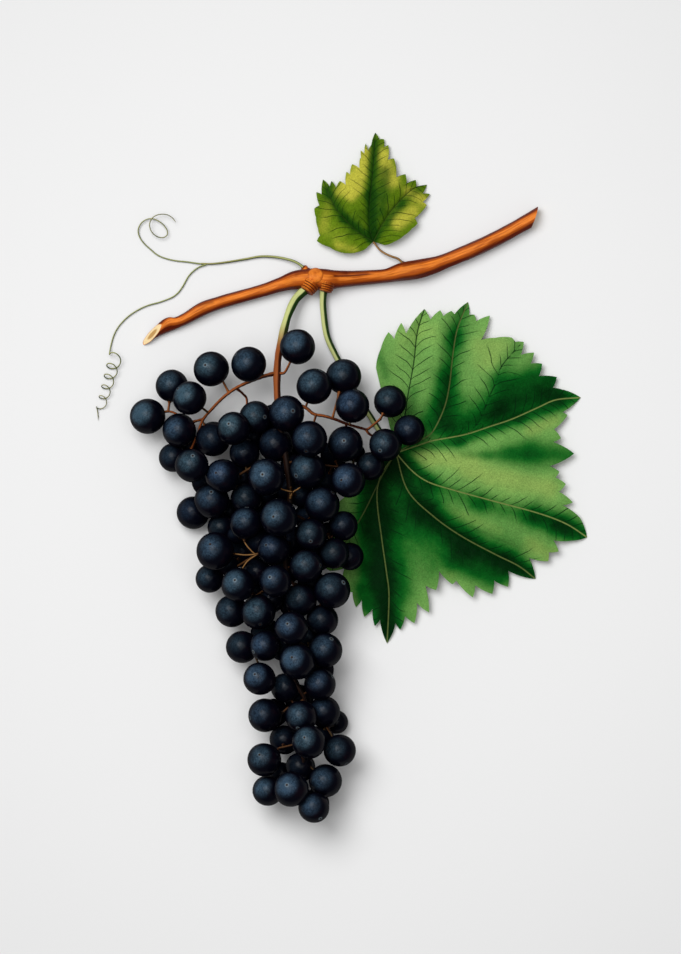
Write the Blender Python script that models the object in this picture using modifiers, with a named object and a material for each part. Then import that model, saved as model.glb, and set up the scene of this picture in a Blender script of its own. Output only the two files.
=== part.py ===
"""Bunch of black grapes on a cut piece of cane, with two leaves and a forked tendril, lying on a table.

The plant lies in the XY plane with +Y towards the cane and +Z up, and its lowest berries and the
cane rest on z = 0. Places are read on a square grid laid over the plant, as (across, down) from the
grid's top left corner, in steps of GRID. Heights above the table, and stem radii, are in the same steps
where they stand beside a place, and in millimetres times MM where they stand alone.
"""

import math
import random
from typing import NamedTuple

import bmesh
import bpy
import numpy as np
from mathutils import Matrix, Vector

MM = 0.001
GRID = 0.45 * MM
ORIGIN_ACROSS = 341.51
ORIGIN_DOWN = 477.32

PLANT = "grape_bunch"
SEED = 11


class Berry(NamedTuple):
    """A berry seen from above: its place, its radius, and its layer from 0, foremost, to 3, hindmost."""

    across: float
    down: float
    radius: float
    layer: int


LEFT_WING = (
    Berry(248.8, 364.2, 17.1, 0), Berry(211.3, 369.0, 17.3, 0), Berry(171.8, 385.9, 16.0, 1),
    Berry(189.6, 398.0, 16.5, 0), Berry(147.7, 416.2, 17.5, 0), Berry(179.4, 430.3, 16.5, 1),
    Berry(173.3, 457.6, 14.2, 2), Berry(192.0, 465.5, 16.5, 0), Berry(213.0, 439.0, 17.0, 2),
    Berry(233.6, 428.6, 16.5, 0), Berry(255.7, 417.3, 16.0, 1),
)
RIGHT_WING = (
    Berry(343.7, 376.6, 17.3, 1), Berry(352.4, 406.0, 16.7, 0), Berry(390.1, 401.5, 15.8, 1),
    Berry(409.2, 430.3, 15.2, 1), Berry(385.4, 444.9, 16.0, 0), Berry(345.3, 444.0, 17.3, 1),
    Berry(370.2, 466.1, 14.0, 2), Berry(348.5, 480.2, 16.9, 0),
)
SHOULDER = (
    Berry(297.6, 346.9, 17.3, 0), Berry(314.2, 386.5, 17.6, 0), Berry(286.7, 413.6, 17.6, 0),
    Berry(309.5, 439.0, 17.6, 0), Berry(275.9, 444.4, 17.0, 2), Berry(244.4, 453.0, 14.7, 2),
    Berry(222.7, 475.9, 16.7, 1), Berry(266.5, 477.0, 18.2, 0), Berry(307.7, 470.5, 18.0, 1),
)
BODY = (
    Berry(211.9, 500.8, 17.3, 1), Berry(193.0, 512.7, 16.0, 2), Berry(246.5, 498.5, 15.5, 2),
    Berry(279.1, 517.5, 18.5, 0), Berry(246.0, 523.0, 16.0, 1), Berry(221.0, 527.5, 13.5, 3),
    Berry(322.0, 504.5, 17.3, 1), Berry(343.0, 525.7, 14.5, 2), Berry(311.0, 534.2, 15.5, 1),
    Berry(215.2, 551.0, 18.5, 0), Berry(273.7, 549.0, 15.8, 1), Berry(334.0, 553.3, 15.0, 2),
    Berry(350.0, 556.5, 13.5, 3), Berry(209.8, 578.5, 14.0, 2), Berry(238.1, 584.5, 16.5, 0),
    Berry(306.3, 566.1, 16.5, 1), Berry(275.3, 581.0, 15.8, 0), Berry(257.0, 572.0, 13.5, 3),
)
WAIST = (
    Berry(332.2, 590.2, 17.9, 1), Berry(300.5, 599.4, 16.0, 2), Berry(231.7, 610.9, 16.0, 2),
    Berry(258.4, 612.0, 17.0, 1), Berry(270.7, 599.4, 13.5, 3), Berry(291.4, 628.0, 16.5, 0),
    Berry(322.3, 620.0, 15.5, 2), Berry(242.0, 647.1, 15.8, 2), Berry(265.0, 645.7, 15.2, 1),
    Berry(297.1, 661.4, 17.5, 0), Berry(325.3, 650.3, 16.9, 1),
)
TAIL = (
    Berry(259.7, 678.6, 16.0, 0), Berry(320.0, 684.3, 15.5, 1), Berry(285.6, 687.8, 14.5, 2),
    Berry(265.0, 715.3, 16.4, 1), Berry(301.2, 716.5, 15.8, 1), Berry(324.6, 711.9, 15.5, 2),
    Berry(336.5, 722.2, 11.5, 3), Berry(284.4, 739.8, 14.5, 3), Berry(308.8, 741.7, 16.5, 0),
    Berry(339.6, 750.4, 15.8, 1), Berry(264.3, 759.6, 16.5, 0), Berry(300.5, 767.0, 14.5, 3),
    Berry(325.3, 780.7, 16.4, 1), Berry(267.8, 790.4, 15.0, 1), Berry(291.4, 788.8, 17.2, 0),
    Berry(313.9, 807.1, 15.3, 1), Berry(281.0, 774.0, 11.5, 3),
)
SEEN_BERRIES = LEFT_WING + RIGHT_WING + SHOULDER + BODY + WAIST + TAIL
# Berries at the very bottom that show dark through the gaps, as (across, down, radius).
LOW_BERRIES = (
    (243.2, 551.6, 15.4), (289.5, 489.5, 15.4), (292.4, 542.0, 15.0), (326.5, 482.0, 15.0),
    (309.0, 639.0, 14.4), (256.0, 591.0, 12.2), (312.0, 584.0, 13.7), (299.0, 699.0, 14.0),
    (230.0, 511.0, 11.2), (191.5, 446.0, 11.0),
)

# The bunch is highest along its stem. Rows are (down, across of the stem, height of the middle).
SPINE = (
    (330, 280, 29), (373, 277, 39), (400, 278, 46), (440, 284, 51), (470, 287, 56), (520, 286, 56),
    (560, 285, 56), (620, 291, 49), (640, 292, 47), (690, 299, 42), (720, 303, 40), (830, 303, 35),
)
SPINE_REACH = 140
WING_DROP = 0.62
LEAST_MIDDLE = 20
LAYER_LIFT = (0.55, 0.2, -0.15, -0.4)
BERRY_PRESS = 1.003
HIDDEN_RADII = (14.2, 16.0)
HIDDEN_TRIES = 1200
FLAT_SPOT_DEPTH = 0.5 * MM
TABLE = (1000 * MM, 1000 * MM, 20 * MM)

# The leaf and its stalk pass under the right side of the bunch, which lies that much higher.
LEAF_BED = 9.4
BED_ACROSS = (298, 312)
BED_DOWN = (602, 622)


class Stem(NamedTuple):
    """A stem of the bunch: radii at its two ends, and its route as (across, down, height)."""

    root_radius: float
    tip_radius: float
    route: tuple


MAIN_STEM = Stem(4.4, 1.6, (
    (302.9, 293.8, 12.7), (294.6, 301.5, 15), (287.2, 318.0, 20), (280.5, 345.0, 30), (277.4, 366.0, 41),
    (277.4, 397.0, 48), (281.0, 430.0, 51), (287.0, 465.0, 53), (290.0, 501.0, 54), (284.0, 535.0, 53),
    (287.0, 575.0, 50), (291.0, 615.0, 47), (293.7, 650.0, 45), (294.5, 680.0, 43), (300.0, 690.0, 42),
    (305.0, 703.0, 40), (303.5, 735.0, 38), (303.5, 758.0, 39), (301.0, 785.0, 35),
))
SIDE_STEMS = (
    Stem(2.2, 1.5, ((277.4, 373.0, 43), (262, 377, 46), (240, 386, 44), (225, 396, 41), (212, 409, 38),
                    (203, 420, 35), (197, 436, 31), (191, 450, 27))),
    Stem(1.5, 1.2, ((204, 419, 35), (190, 421, 31), (172, 412, 27), (160, 412, 26))),
    Stem(1.5, 1.2, ((236, 388, 44), (243, 394, 40), (247, 402, 37), (243, 430, 30))),
    Stem(1.8, 1.4, ((277.4, 373.0, 43), (284, 373, 47), (288, 367, 48))),
    Stem(2.2, 1.4, ((280, 402, 48), (303, 406.5, 52), (313.8, 414, 54), (324.7, 416.2, 54),
                    (335.5, 419.5, 52), (348.5, 424.5, 48), (361.5, 428.2, 43), (367, 429.3, 41),
                    (373.4, 424.9, 40), (380, 419.5, 39))),
    Stem(1.5, 1.3, ((366, 429, 41), (370.2, 434.7, 39), (384, 440, 33), (398, 436, 30))),
    Stem(1.9, 1.3, ((285, 455, 52), (262, 462, 46), (235, 478, 40), (216, 494, 36))),
    Stem(1.9, 1.3, ((287, 463, 53), (305, 462, 50), (330, 466, 45), (352, 468, 40))),
    Stem(1.6, 1.2, ((290, 501, 54), (291, 491, 62), (291, 487, 66))),
    Stem(1.9, 1.3, ((288, 512, 54), (305, 520, 47), (325, 533, 40), (338, 546, 34))),
    Stem(2.0, 1.3, ((284, 535, 53), (270, 547, 56), (256, 555, 57), (236, 567, 44), (220, 574, 34))),
    Stem(1.8, 1.3, ((287, 575, 50), (268, 588, 43), (246, 602, 35))),
    Stem(1.8, 1.3, ((288, 580, 50), (305, 590, 44), (322, 603, 38))),
    Stem(1.7, 1.2, ((293, 632, 46), (272, 642, 41), (254, 652, 36))),
    Stem(1.7, 1.2, ((293, 638, 46), (310, 650, 40), (318, 664, 37))),
    Stem(1.6, 1.2, ((304, 700, 40), (288, 708, 36), (274, 722, 34))),
    Stem(1.6, 1.2, ((305, 705, 40), (318, 716, 34), (330, 732, 33))),
    Stem(1.5, 1.2, ((303.5, 742, 38), (291.4, 745.2, 41), (278.7, 748.1, 40))),
    Stem(1.5, 1.2, ((303, 762, 38), (312, 768, 36), (317, 776, 34))),
)
PEDICEL_RADIUS = 1.25
PEDICEL_SUNK = 0.75
SHORTEST_PEDICEL = 3.0
FIRST_BERRY_DOWN = 366

# The cane as (across, down, radius) along its middle, from the slanting cut to the square one.
CANE = (
    (141, 342.5, 4.4), (152, 334.5, 4.9), (171.8, 325.4, 5.1), (187, 317.5, 5.6), (202.4, 308.8, 6.6),
    (217, 303.5, 6.2), (233, 298.6, 6.0), (263.7, 290.0, 6.1), (281, 284.3, 6.9), (296, 279.8, 9.3),
    (312.6, 278.6, 10.3), (327, 279.7, 10.2), (338, 279.2, 8.6), (352, 278.4, 7.6), (370, 276.9, 6.8),
    (386, 275.4, 6.8), (401.4, 271.8, 8.8), (416.7, 269.4, 9.2), (432, 265.6, 8.3), (447.3, 260.2, 7.2),
    (477.9, 247.4, 7.3), (508.5, 232.0, 7.0), (537, 216.0, 7.4),
)
CANE_LIFT = 0.6
CANE_ARCH = 1.6
CANE_SIDES = 10

# Each cut is a place on it and the way that the cut face looks. The slanting one faces up and left.
SLANTING_CUT = ((152.0, 334.2, 5.6), (-0.60, 0.21, 0.77))
SQUARE_CUT = ((534.3, 217.6, 8.0), (0.94, -0.31, -0.15))
END_CUTTER = (60 * MM, 60 * MM, 20 * MM)


class Collar(NamedTuple):
    """A ringed collar where a stalk leaves the cane: its foot inside the cane, its end and its radius."""

    foot: tuple
    end: tuple
    radius: float
    ridges: int


BUNCH_COLLAR = Collar((313.5, 281.0, 11), (303.6, 293.0, 12.6), 6.0, 4)
LEAF_COLLAR = Collar((326.0, 280.0, 10), (323.8, 292.2, 10), 4.9, 4)
SMALL_LEAF_COLLAR = Collar((405.5, 266.0, 9), (402.4, 262.2, 9), 2.4, 1)
TENDRIL_COLLAR = Collar((308.5, 273.5, 11), (304.4, 267.9, 11), 3.0, 2)
BUD_SCAR = (315.7, 274.8, 19.0)
BUD_SCAR_RADIUS = 7.6
BUD_SCAR_FLATNESS = 0.35


class Leaf(NamedTuple):
    """A lobed leaf: its outline runs clockwise round the stalk, and each main vein ends at a tip of it."""

    base: tuple
    outline: tuple
    veins: tuple
    rings: tuple
    base_height: float
    pleat_height: float
    dome_height: float


LARGE_LEAF = Leaf(
    base=(396.0, 453.0),
    outline=(
        (376.0, 367.9), (380.7, 349.0), (388.5, 332.0), (394.2, 339.1), (401.3, 322.6), (406.0, 333.7),
        (424.4, 308.9), (430.3, 319.5), (440.2, 310.1), (443.3, 316.0), (451.5, 310.8), (454.6, 314.1),
        (468.1, 301.8), (469.3, 314.8), (474.4, 314.5), (476.3, 321.2), (490.0, 315.5), (481.1, 340.0),
        (495.2, 337.7), (511.7, 337.4), (515.3, 341.7), (524.0, 341.9), (520.7, 354.9), (534.2, 352.5),
        (530.6, 363.6), (542.4, 363.6), (538.9, 376.1), (557.0, 376.9), (553.0, 387.9), (561.3, 389.1),
        (580.9, 397.4), (562.5, 412.2), (567.7, 415.1), (554.2, 429.2), (561.1, 438.2), (553.2, 442.0),
        (574.3, 453.6), (549.7, 466.2), (559.5, 471.7), (555.6, 477.6), (566.0, 484.0), (559.1, 491.8),
        (573.1, 502.4), (562.7, 505.2), (580.2, 517.8), (587.3, 537.3), (570.7, 540.9), (553.2, 540.2),
        (558.9, 551.5), (549.0, 552.4), (548.3, 561.4), (529.1, 557.9), (535.8, 579.1), (508.4, 571.0),
        (508.2, 586.9), (494.2, 580.5), (492.4, 594.0), (475.3, 585.2), (472.8, 597.5), (456.3, 580.5),
        (452.3, 584.4), (439.0, 570.9), (436.2, 590.2), (424.9, 585.0), (429.1, 612.6), (416.9, 602.9),
        (414.5, 623.3), (405.1, 616.1), (400.3, 629.9), (395.6, 623.1), (387.1, 643.5), (380.0, 619.6),
        (374.8, 626.3), (372.5, 609.0), (364.2, 616.9), (361.9, 599.5), (356.0, 607.4), (352.4, 592.5),
        (343.0, 588.4), (344.2, 568.5), (329.6, 570.9), (321.4, 563.8), (331.2, 544.9), (326.3, 535.5),
        (335.9, 522.5), (332.4, 509.5), (344.2, 497.7), (343.0, 485.9), (353.6, 478.8), (365.4, 469.4),
    ),
    veins=(
        ((405.0, 415.0), (407.9, 395.6), (413.7, 363.3), (417.4, 332.5), (424.4, 308.9)),
        ((412.0, 444.0), (426.5, 437.0), (434.5, 429.0), (444.5, 407.3), (449.5, 385.0), (453.3, 351.6),
         (457.7, 328.0), (468.1, 301.8)),
        ((415.0, 446.5), (432.0, 440.8), (450.4, 437.4), (468.0, 433.7), (490.0, 426.4), (512.0, 419.0),
         (538.4, 407.3), (556.0, 399.8), (580.9, 397.4)),
        ((412.3, 471.0), (428.4, 482.0), (453.3, 490.0), (495.2, 501.5), (537.7, 513.0), (566.0, 523.7),
         (587.3, 537.3)),
        ((407.9, 490.6), (433.8, 516.6), (462.2, 536.6), (495.2, 554.3), (518.8, 566.1), (535.8, 579.1)),
        ((384.3, 469.4), (378.4, 483.5), (377.2, 502.4), (381.9, 540.2), (386.6, 573.2), (389.0, 596.8),
         (387.1, 643.5)),
        ((381.0, 478.0), (363.0, 514.2), (343.0, 545.0), (321.4, 563.8)),
    ),
    rings=(0.16, 0.42, 0.68, 0.87, 1.0),
    base_height=3.6,
    pleat_height=17.0,
    dome_height=9.0,
)
SMALL_LEAF = Leaf(
    base=(373.3, 241.4),
    outline=(
        (365.3, 249.1), (357.1, 252.1), (348.0, 253.2), (338.8, 251.6), (329.6, 247.0), (316.8, 240.9),
        (319.9, 235.3), (317.9, 228.2), (315.8, 216.9), (314.3, 208.3), (319.4, 205.2), (316.3, 191.9),
        (321.7, 194.0), (323.0, 179.2), (329.8, 186.3), (331.6, 180.7), (336.1, 187.3), (339.8, 180.7),
        (345.6, 184.6), (346.4, 171.6), (350.0, 174.0), (352.0, 163.9), (359.6, 168.0), (360.0, 158.0),
        (361.6, 158.4), (360.7, 150.1), (364.4, 153.4), (365.6, 143.2), (368.0, 150.4), (371.4, 144.5),
        (375.3, 132.4), (379.6, 138.9), (384.0, 138.9), (384.2, 146.6), (388.5, 144.9), (388.0, 159.6),
        (394.2, 158.2), (396.4, 177.2), (405.6, 173.9), (406.6, 183.4), (415.8, 179.7), (416.3, 187.0),
        (427.0, 184.5), (422.6, 193.2), (430.0, 193.8), (422.6, 201.8), (427.0, 204.9), (414.8, 218.0),
        (417.6, 223.3), (412.2, 228.2), (404.1, 235.3), (393.9, 241.9), (384.7, 245.0),
    ),
    veins=(
        ((357.1, 231.2), (343.9, 218.0), (333.7, 204.7), (323.0, 179.2)),
        ((369.6, 227.1), (369.4, 206.7), (371.9, 181.2), (374.0, 155.7), (375.3, 132.4)),
        ((386.7, 216.9), (402.0, 198.6), (415.3, 187.3), (427.0, 184.5)),
    ),
    rings=(0.2, 0.5, 0.8, 1.0),
    base_height=4.5,
    pleat_height=10.0,
    dome_height=7.0,
)
LEAF_THICKNESS = 0.7 * MM
LEAF_EDGE_HEIGHT = 1.0
FLAT_UNDER_BUNCH = 50.0

LARGE_STALK = ((323.6, 293.2, 10), (323.2, 303, 9), (323.4, 316, 8.4), (326.6, 334, 7.6), (334, 352, 6.6),
               (345, 372, 5.2), (358, 396, 4.6), (374, 422, 4.4), (388, 443, 4.0), (397, 454.5, 3.6))
LARGE_STALK_RADII = (3.4, 2.7)
SMALL_STALK = ((401.8, 261.4, 9), (398.0, 258.6, 8.6), (392.0, 256.4, 8), (386.0, 253.8, 7),
               (379.6, 249.4, 6), (373.6, 241.8, 4.6))
SMALL_STALK_RADII = (1.5, 1.1)

TENDRIL_STEM = ((303.9, 267.2, 11), (298.0, 263.2, 9), (290.0, 259.8, 7), (275.9, 256.9, 4.4),
                (260.6, 256.3, 3), (245.3, 258.9, 2.6), (226.9, 261.9, 2.6), (211.6, 263.6, 2.6),
                (200.0, 263.4, 2.4))
UPPER_BRANCH = ((206.0, 264.2, 2.6), (196.0, 263.0, 2.4), (186.1, 261.6, 2), (175.4, 260.5, 2),
                (165.4, 258.2, 2), (157.1, 254.7, 2), (150.5, 249.3, 2), (143.8, 243.1, 2.2),
                (139.3, 236.5, 2.6), (138.0, 229.8, 3), (140.6, 223.6, 3.4), (146.0, 219.4, 3.8),
                (152.4, 218.6, 4.2), (158.8, 221.1, 4.8), (164.2, 225.7, 5), (167.1, 230.7, 5),
                (166.7, 235.2, 5), (162.1, 237.5, 5.4), (156.3, 236.0, 6), (151.4, 231.5, 7),
                (149.4, 225.0, 8), (151.4, 218.8, 8.6), (156.3, 215.1, 8.6), (162.9, 214.0, 8),
                (168.3, 215.1, 7.4), (172.6, 218.0, 7), (175.8, 222.2, 6.6))
LOWER_BRANCH = ((206.0, 264.4, 2.6), (199.6, 266.6, 2.4), (193.6, 270.6, 2.2), (188.0, 276.7, 2),
                (182.5, 286.4, 2), (177.5, 293.0, 2), (171.0, 297.6, 2), (159.6, 302.0, 2), (150.5, 304.4, 2),
                (142.5, 307.4, 2), (135.1, 311.4, 2), (128.2, 316.2, 2), (122.2, 321.9, 2),
                (117.0, 328.6, 2), (113.2, 336.4, 2), (110.6, 346.0, 2.4))
TENDRIL_RADII = (1.5, 1.0)
BRANCH_RADII = (1.05, 0.75)


class Coil(NamedTuple):
    """The spring at the lower branch's end: its axis from start to end, loop radii, turns and lie."""

    start: tuple
    end: tuple
    start_radius: float
    end_radius: float
    turns: int
    tilt: float
    points_a_turn: int


COIL = Coil((115.6, 356.0), (100.4, 408.0), 6.6, 4.2, 5, math.radians(38), 11)
COIL_TIP = ((97.3, 411.0, 2.6), (97.8, 415.5, 2), (98.0, 420.6, 1.8))

MAIN_STEM_SIDES = 6
SIDE_STEM_SIDES = 4
PEDICEL_SIDES = 4


def place(across, down, height=0.0):
    """A grid place as a point in metres."""
    return np.array(((across - ORIGIN_ACROSS) * GRID, (ORIGIN_DOWN - down) * GRID, height * GRID))


def places(rows):
    """Grid places as an array of points in metres."""
    return np.array([place(*row) for row in rows])


def smooth_line(points, per_span):
    """Points of a Catmull-Rom curve through the given rows, per_span to each stretch, ends included."""
    rows = np.asarray(points, float)
    ends = np.vstack((2 * rows[0] - rows[1], rows, 2 * rows[-1] - rows[-2]))
    t = np.arange(per_span)[:, None] / per_span
    spans = []
    for before, start, end, after in zip(ends, ends[1:], ends[2:], ends[3:]):
        spans.append(0.5 * (2 * start + (end - before) * t + (2 * before - 5 * start + 4 * end - after) * t**2
                            + (3 * start - before - 3 * end + after) * t**3))
    return np.vstack(spans + [rows[-1:]])


def material(name, colour, roughness):
    """A plain Principled material."""
    made = bpy.data.materials.new(name)
    made.use_nodes = True
    shader = made.node_tree.nodes["Principled BSDF"]
    shader.inputs["Base Color"].default_value = (*colour, 1.0)
    shader.inputs["Roughness"].default_value = roughness
    shader.inputs["Metallic"].default_value = 0.0
    return made


def mesh_object(name, points, faces):
    """An object from computed points and faces, linked to the scene."""
    mesh = bpy.data.meshes.new(name)
    mesh.from_pydata([tuple(p) for p in points], [], faces)
    made = bpy.data.objects.new(name, mesh)
    bpy.context.scene.collection.objects.link(made)
    return made


def baked(made):
    """Replaces an object by the mesh that its curve or modifiers make, with its caps welded."""
    bpy.context.view_layer.update()
    mesh = bpy.data.meshes.new_from_object(made.evaluated_get(bpy.context.evaluated_depsgraph_get()))
    mesh.transform(made.matrix_world)
    name = made.name
    bpy.data.objects.remove(made)
    solid = bpy.data.objects.new(name, mesh)
    bpy.context.scene.collection.objects.link(solid)
    weld = solid.modifiers.new("caps", "WELD")
    weld.merge_threshold = 0.002 * MM
    bpy.context.view_layer.update()
    solid.data = bpy.data.meshes.new_from_object(solid.evaluated_get(bpy.context.evaluated_depsgraph_get()))
    solid.modifiers.clear()
    return solid


def tube(name, route, radii, sides):
    """A closed tube along a route, its radius going evenly between two, or listed for each point."""
    curve = bpy.data.curves.new(name, "CURVE")
    curve.dimensions = "3D"
    curve.use_fill_caps = True
    curve.bevel_depth = MM
    curve.bevel_resolution = (sides - 4) // 2
    spline = curve.splines.new("POLY")
    spline.points.add(len(route) - 1)
    if len(radii) != len(route):
        radii = np.linspace(radii[0], radii[1], len(route))
    for point, where, radius in zip(spline.points, route, radii):
        point.co = (*where, 1.0)
        point.radius = radius / MM
    made = bpy.data.objects.new(name, curve)
    bpy.context.scene.collection.objects.link(made)
    return baked(made)


def joined(name, pieces, solver="EXACT"):
    """One solid from overlapping pieces, by a Boolean union with a collection of all but the first."""
    first, others = pieces[0], pieces[1:]
    group = bpy.data.collections.new(f"{name}_pieces")
    for piece in others:
        group.objects.link(piece)
    union = first.modifiers.new("union", "BOOLEAN")
    union.operation = "UNION"
    union.operand_type = "COLLECTION"
    union.collection = group
    union.solver = solver
    bpy.context.view_layer.update()
    mesh = bpy.data.meshes.new_from_object(first.evaluated_get(bpy.context.evaluated_depsgraph_get()))
    for piece in pieces:
        bpy.data.objects.remove(piece)
    bpy.data.collections.remove(group)
    made = bpy.data.objects.new(name, mesh)
    bpy.context.scene.collection.objects.link(made)
    return made


def keep_outer_shell(made):
    """Drops every connected shell but the largest, which fills sealed hollows and clears loose scraps."""
    shape = bmesh.new()
    shape.from_mesh(made.data)
    left = set(shape.verts)
    shells = []
    while left:
        shell, edge_of_shell = set(), [left.pop()]
        while edge_of_shell:
            corner = edge_of_shell.pop()
            shell.add(corner)
            for edge in corner.link_edges:
                other = edge.other_vert(corner)
                if other in left:
                    left.remove(other)
                    edge_of_shell.append(other)
        shells.append(shell)
    shells.sort(key=len)
    for shell in shells[:-1]:
        bmesh.ops.delete(shape, geom=list(shell), context="VERTS")
    shape.to_mesh(made.data)
    shape.free()
    return made


def cut(made, cutter, solver="EXACT"):
    """Takes a closed cutter out of a mesh object and removes the cutter."""
    difference = made.modifiers.new("cut", "BOOLEAN")
    difference.operation = "DIFFERENCE"
    difference.object = cutter
    difference.solver = solver
    bpy.context.view_layer.update()
    made.data = bpy.data.meshes.new_from_object(made.evaluated_get(bpy.context.evaluated_depsgraph_get()))
    made.modifiers.clear()
    bpy.data.objects.remove(cutter)
    return made


def block(size, middle, turn=Matrix.Identity(3)):
    """A box cutter of the given size, turned and centred."""
    bpy.ops.mesh.primitive_cube_add(size=1.0)
    made = bpy.context.object
    made.data.transform(Matrix.Translation(Vector(middle)) @ turn.to_4x4() @ Matrix.Diagonal((*size, 1.0)))
    return made


def finish(made, look, smooth_angle):
    """Gives a node its material and smooth shading below an angle, and puts it in the plant's collection."""
    made.data.materials.clear()
    made.data.materials.append(look)
    made.data.shade_smooth()
    made.data.set_sharp_from_angle(angle=math.radians(smooth_angle))
    bpy.context.scene.collection.objects.unlink(made)
    bpy.data.collections[PLANT].objects.link(made)


def bed_height(across, down):
    """Height of the bed that the leaf and its stalk make under the right side of the bunch."""
    from_left = np.clip((across - BED_ACROSS[0]) / (BED_ACROSS[1] - BED_ACROSS[0]), 0, 1)
    from_foot = 1 - np.clip((down - BED_DOWN[0]) / (BED_DOWN[1] - BED_DOWN[0]), 0, 1)
    return LEAF_BED * from_left * from_foot


def lowest_centre(across, down, radius):
    """Lowest height of a berry's centre: on the leaf's bed, or pressed a little flat on the table."""
    bed = bed_height(across, down)
    return bed + radius - np.where(bed == 0, FLAT_SPOT_DEPTH / GRID, 0)


def middle_height(across, down):
    """Height of the bunch's middle, greatest along its stem and falling towards the wings."""
    downs, acrosses, heights = np.array(SPINE, float).T
    off = np.clip(np.abs(across - np.interp(down, downs, acrosses)) / SPINE_REACH, 0, 1)
    return np.maximum(np.interp(down, downs, heights) * (1 - WING_DROP * off**1.3), LEAST_MIDDLE)


def stacked_heights(berries):
    """Centre heights of the seen berries. Each starts at its layer's height, then pairs that overlap part."""
    across, down, radius, layer = np.array(berries).T
    floor = lowest_centre(across, down, radius)
    lift = np.array(LAYER_LIFT)[layer.astype(int)]
    aim = np.maximum(middle_height(across, down) * (1 + lift), floor)
    height = aim.copy()
    apart = np.hypot(across[:, None] - across, down[:, None] - down)
    touch = (radius[:, None] + radius) * BERRY_PRESS
    need = np.sqrt(np.clip(touch**2 - apart**2, 0, None))
    pairs = []
    for i in range(len(berries)):
        for j in range(i):
            if need[i, j] > 0.4:
                i_is_above = layer[i] < layer[j] if layer[i] != layer[j] else aim[i] >= aim[j]
                pairs.append((i, j) if i_is_above else (j, i))
    rounds, settling = 400, 300
    for count in range(rounds):
        if count < settling:
            height += (aim - height) * 0.02
        for upper, lower in pairs:
            short = need[upper, lower] - (height[upper] - height[lower])
            if short > 0:
                sink = max(min(short / 2, height[lower] - floor[lower]), 0)
                height[lower] -= sink
                height[upper] += short - sink
        height = np.maximum(height, floor)
    return height


def berry_balls():
    """All berries as rows (across, down, height, radius): the seen ones, the low ones, the hidden ones."""
    seen = np.array(SEEN_BERRIES)
    height = stacked_heights(SEEN_BERRIES)
    balls = [np.array(row) for row in np.column_stack((seen[:, 0], seen[:, 1], height, seen[:, 2]))]
    for across, down, radius in LOW_BERRIES:
        balls.append(np.array((across, down, float(lowest_centre(across, down, radius)), radius)))
    draw = random.Random(SEED)
    angles = np.linspace(0, 2 * math.pi, 24, endpoint=False)
    circle = np.column_stack((np.cos(angles), np.sin(angles)))
    low, high = seen[:, :2].min(0), seen[:, :2].max(0)
    for _ in range(HIDDEN_TRIES):
        across, down = draw.uniform(low[0], high[0]), draw.uniform(low[1], high[1])
        radius = draw.uniform(*HIDDEN_RADII)
        centre = float(lowest_centre(across, down, radius))
        rim = np.array((across, down)) + radius * circle
        reach = np.hypot(rim[:, None, 0] - seen[:, 0], rim[:, None, 1] - seen[:, 1])
        covered = ((reach < seen[:, 2] + 1) & (height > centre + 4.4)).any(1).mean()
        if covered < 0.9:
            continue
        others = np.array(balls)
        far = np.linalg.norm(others[:, :3] - (across, down, centre), axis=1)
        if (far > others[:, 3] + radius).all():
            balls.append(np.array((across, down, centre, radius)))
    return np.array(balls)


def stem_points():
    """Points along every stem that can carry a berry, as an array of grid rows."""
    spots = [smooth_line(stem.route, 4) for stem in (MAIN_STEM, *SIDE_STEMS)]
    spots[0] = spots[0][spots[0][:, 1] > FIRST_BERRY_DOWN]
    return np.vstack(spots)


def pedicel_route(ball, spots):
    """The route of a berry's own stalk, from the nearest stem to just inside the berry."""
    centre, radius = ball[:3], ball[3]
    away = np.linalg.norm(spots - centre, axis=1)
    cost = away + np.where(away < radius + SHORTEST_PEDICEL, 40, 0)
    nearest = int(np.argmin(cost))
    start = spots[nearest]
    reach = centre - start
    end = centre - reach / np.linalg.norm(reach) * radius * PEDICEL_SUNK
    return np.array((start, end))


def build_bunch(look, berries):
    """Stems, pedicels and berries joined in one solid, with flat spots where the lowest berries rest."""
    pieces = [tube("main_stem", places(smooth_line(MAIN_STEM.route, 2)),
                   (MAIN_STEM.root_radius * GRID, MAIN_STEM.tip_radius * GRID), MAIN_STEM_SIDES)]
    for stem in SIDE_STEMS:
        pieces.append(tube("side_stem", places(stem.route), (stem.root_radius * GRID, stem.tip_radius * GRID),
                           SIDE_STEM_SIDES))
    spots = stem_points()
    for index, ball in enumerate(berries):
        route = places(pedicel_route(ball, spots))
        pieces.append(tube("pedicel", route, (PEDICEL_RADIUS * GRID, PEDICEL_RADIUS * GRID), PEDICEL_SIDES))
        if index < len(SEEN_BERRIES):
            bpy.ops.mesh.primitive_ico_sphere_add(subdivisions=2, radius=ball[3] * GRID)
        else:
            bpy.ops.mesh.primitive_uv_sphere_add(segments=6, ring_count=5, radius=ball[3] * GRID)
        berry = bpy.context.object
        berry.data.transform(Matrix.Translation(Vector(place(*ball[:3]))))
        pieces.append(berry)
    bunch = keep_outer_shell(joined("bunch", pieces, "MANIFOLD"))
    table = block(TABLE, (0.0, 0.0, -TABLE[2] / 2))
    finish(keep_outer_shell(cut(bunch, table, "MANIFOLD")), look, 50)


def cane_line(per_span):
    """Middle line of the cane as points in metres, and its radii. It lies on the table at both ends."""
    rows = smooth_line(CANE, per_span)
    arch = CANE_ARCH * np.sin(np.linspace(0, math.pi, len(rows)))
    line = places(np.column_stack((rows[:, :2], rows[:, 2] + CANE_LIFT + arch)))
    return line, rows[:, 2] * GRID


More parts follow.
